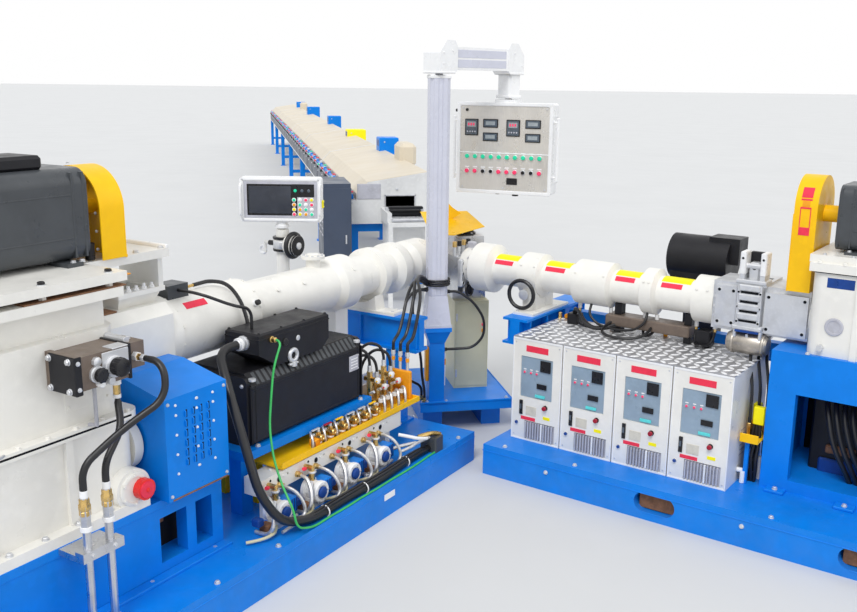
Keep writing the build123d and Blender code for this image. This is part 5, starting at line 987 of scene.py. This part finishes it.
# Curing tunnel: seams and catches of the hoods, valves along its near side, blue boxes and lamps
Piece("tunnel_hood_seams", PLAN, "hood_beige")
TUNNEL, BAY, BAYS, TUNNEL_END = 2960, 3746.7, 6, 25440
seam = [(-77, 1002), (-77, 1061), (29, 1168), (596, 1258), (702, 1151), (702, 1002), (698, 1002), (698, 1149),
        (594, 1253), (31, 1163), (-73, 1059), (-73, 1002)]
for i, s in product(range(BAYS + 1), (-1, 1)):
    y = TUNNEL + BAY * i + 14 * s
    if TUNNEL - 5 < y < TUNNEL_END - 4:
        prism(PALE if i else BEIGE, seam, "y", y - 9, y + 9)
for i, k in product(range(BAYS), range(3)):
    y = TUNNEL + BAY * i + 560 + 1240 * k
    box(LOUVRE, -81, -72, y, y + 90, 1006, 1050, 3)
    rod(SILVER, (-84, y + 20, 1030), 50 * Y, 5, 10)
    box(LOUVRE, 697, 706, y, y + 90, 1010, 1060, 3)
Piece("tunnel_rail", PLAN, "dark_blue")
box(LOUVRE, -140, -78, TUNNEL + 2, TUNNEL_END - 2, 996, 1004, 2)
box(CLEAN, -138, -133, TUNNEL + 2, TUNNEL_END - 2, 778, 796)
bars(NAVY, (-139, range(3036, 24427, 930), 800), (5, 878, 180), 4)
box(PALE, 698, 764, TUNNEL + 2, TUNNEL_END - 2, 996, 1004, 2)
Piece("tunnel_gas_valves", PLAN, "bare_steel")
rod(BLUE, (-112, 2990, 1022), 22410 * Y, 15, 12)
for i in range(40):
    y = 3060 + 560 * i
    box(BLUE, -128, -96, y - 34, y - 10, 1003, 1046, 3)
    rod(CLEAN, (-112, y, 1030), 32 * Z, 12, 10)
    lathe((RED_STRIP, GREEN_LAMP, CLEAN, RED_STRIP)[i % 4], (-112, y, 1060), Z,
          [(0, 10), (3, 22), (9, 22), (13, 12)], 14)
    rod(SILVER, (-112, y, 1038), (-30, 0, -8), 7, 8)
    rod(RED_STRIP if i % 3 else GREEN_LAMP, (-140, y, 1031), (-18, 0, -5), 13, 10)
    box(LOUVRE, -136, -92, y + 60, y + 110, 1003, 1040, 4)
    rod(PLASTIC, (-140, y + 170, 985), -18 * X, 15, 14)
    rod(SILVER, (-139, y + 120, 940), -11 * X, 10, 10)
Piece("tunnel_far_boxes", PLAN, "machine_blue")
for kind, x0, x1, y0, y1, z0, z1, k in (
        (BEIGE, 545, 725, 4280, 4700, 1180, 1425, 38), (BLUE, 525, 758, 5680, 5960, 1160, 1402, 8),
        (YELLOW_STRIP, 470, 750, 8700, 8990, 1170, 1338, 8), (BLUE, 520, 758, 12400, 12680, 1160, 1395, 8),
        (BLUE, 470, 758, 17300, 17600, 1160, 1415, 8), (BEIGE, 545, 725, 21000, 21400, 1180, 1420, 38),
        (BLUE, 520, 758, 22400, 22700, 1160, 1400, 8)):
    box(kind, x0, x1, y0, y1, z0, z1, k)
    if kind != BEIGE:
        box(kind, 702, 748, y0 + 30, y0 + 90, 998, z0 + 12, 4)
        box(DEEP, x0 - 2, x0 + 4, y0 + 40, y1 - 40, z1 - 100, z1 - 30, 3)
        rod(SILVER, (x0 + 60, y0 - 8, z1 - 50), 12 * Y, 9, 12)
Piece("tunnel_front_trim", PLAN, "pale_grey")
for x, z in ((-120, (800, 980)), (745, (800, 980)), ((160, 500), 900), (300, 1100)):
    bolt(SILVER, (x, 2950, z), -Y, 12)
for x0, x1, z0, z1 in ((183, 195, 863, 1047), (465, 477, 863, 1047), (183, 477, 1035, 1047)):
    box(SILVER, x0, x1, 2944, 2951, z0, z1, 2)
box(LOUVRE, -70, 150, 2944, 2951, 1010, 1150, 4)
box(BLACK, 180, 490, 2640, 2700, 952, 975, 5)
bars(SILVER, ((162, 480), 2700, 890), (28, 80, 70), 4)
bolt(SILVER, ((176, 494), 2700, 920), -Y, 10)
rod(STEEL, (190, range(2500, 2661, 40), 872), 290 * X, 14, 14)
bars(SILVER, ((184, 478), 2484, 860), (8, 216, 24), 2)
box(NAVY, -404, -151, 2696, 2701, 40, 1140, 4)
box(BLUE, -404, -151, 2694, 2700, 20, 34, 2)
rod(SILVER, (-200, 2690, 640), 80 * Z, 7, 12)
bars(LOUVRE, (-404, (2770, 2950, 3130), range(700, 1080, 60)), (5, 110, 12), 1)
bolt(SILVER, (-402, (2720, 3220), 1120), -X, 11)
for p in Piece.made:
    p.done()

# Floor and lights
floor = bpy.data.meshes.new("floor")
floor.from_pydata([(-300, -300, 0), (300, -300, 0), (300, 300, 0), (-300, 300, 0)], [], [(0, 1, 2, 3)])
paint = material("studio_floor", (0.64, 0.64, 0.635), 0.75, mottle=0.02, scale=0.6, bump=0.02, grain=40)
floor.materials.append(paint)
plane = bpy.data.objects.new("floor", floor)
bpy.context.scene.collection.objects.link(plane)
plane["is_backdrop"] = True

world = bpy.data.worlds.new("studio")
bpy.context.scene.world = world
world.use_nodes = True
nodes, links = world.node_tree.nodes, world.node_tree.links
soft = nodes["Background"]
soft.inputs["Color"].default_value = (0.93, 0.96, 1.0, 1)
soft.inputs["Strength"].default_value = 0.76
white = nodes.new("ShaderNodeBackground")
white.inputs["Color"].default_value = (1, 1, 1, 1)
white.inputs["Strength"].default_value = 1.0
path = nodes.new("ShaderNodeLightPath")


def either(first, second):
    larger = nodes.new("ShaderNodeMath")
    larger.operation = "MAXIMUM"
    links.new(first, larger.inputs[0])
    links.new(second, larger.inputs[1])
    return larger.outputs[0]


seen = either(path.outputs["Is Camera Ray"], path.outputs["Is Transmission Ray"])
also = either(seen, path.outputs["Is Glossy Ray"])
both = nodes.new("ShaderNodeMixShader")
links.new(also, both.inputs[0])
links.new(soft.outputs[0], both.inputs[1])
links.new(white.outputs[0], both.inputs[2])
links.new(both.outputs[0], nodes["World Output"].inputs["Surface"])


def sun(name, toward, strength, spread):
    lamp = bpy.data.lights.new(name, "SUN")
    lamp.energy = strength
    lamp.angle = radians(spread)
    thing = bpy.data.objects.new(name, lamp)
    thing.rotation_euler = Vector(toward).to_track_quat("-Z", "Y").to_euler()
    bpy.context.scene.collection.objects.link(thing)


sun("key", (0.42, 0.70, -1.0), 1.72, 28)
sun("fill", (-0.9, 0.45, -0.55), 0.58, 60)

# Camera, as fitted to the photo: focal length and centre in pixels of its width
WIDTH, FOCAL, CENTRE, SENSOR = 857, 959.24, 437.83, 36
heading, pitch, roll = radians(11.633), radians(13.327), radians(-0.742)
forward = Vector((sin(heading) * cos(pitch), cos(heading) * cos(pitch), -sin(pitch)))
right = Vector((cos(heading), -sin(heading), 0))
down = forward.cross(right)
across = right * cos(roll) + down * sin(roll)
fall = down * cos(roll) - right * sin(roll)
camera = bpy.data.cameras.new("camera")
camera.sensor_width = SENSOR
camera.lens = FOCAL * SENSOR / WIDTH
camera.shift_x = -(CENTRE - WIDTH / 2) / WIDTH
camera.clip_end = 200
eye = bpy.data.objects.new("camera", camera)
eye.matrix_world = Matrix((
    (across.x, -fall.x, -forward.x, -1.10662), (across.y, -fall.y, -forward.y, -5.82565),
    (across.z, -fall.z, -forward.z, 2.09659), (0, 0, 0, 1)))
bpy.context.scene.collection.objects.link(eye)
bpy.context.scene.camera = eye
bpy.context.scene.view_settings.view_transform = "Standard"


def plain(value):
    return [plain(v) for v in value] if hasattr(value, "__len__") else float(value)


{"cad": plain(cad_box), "visual": plain(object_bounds())}
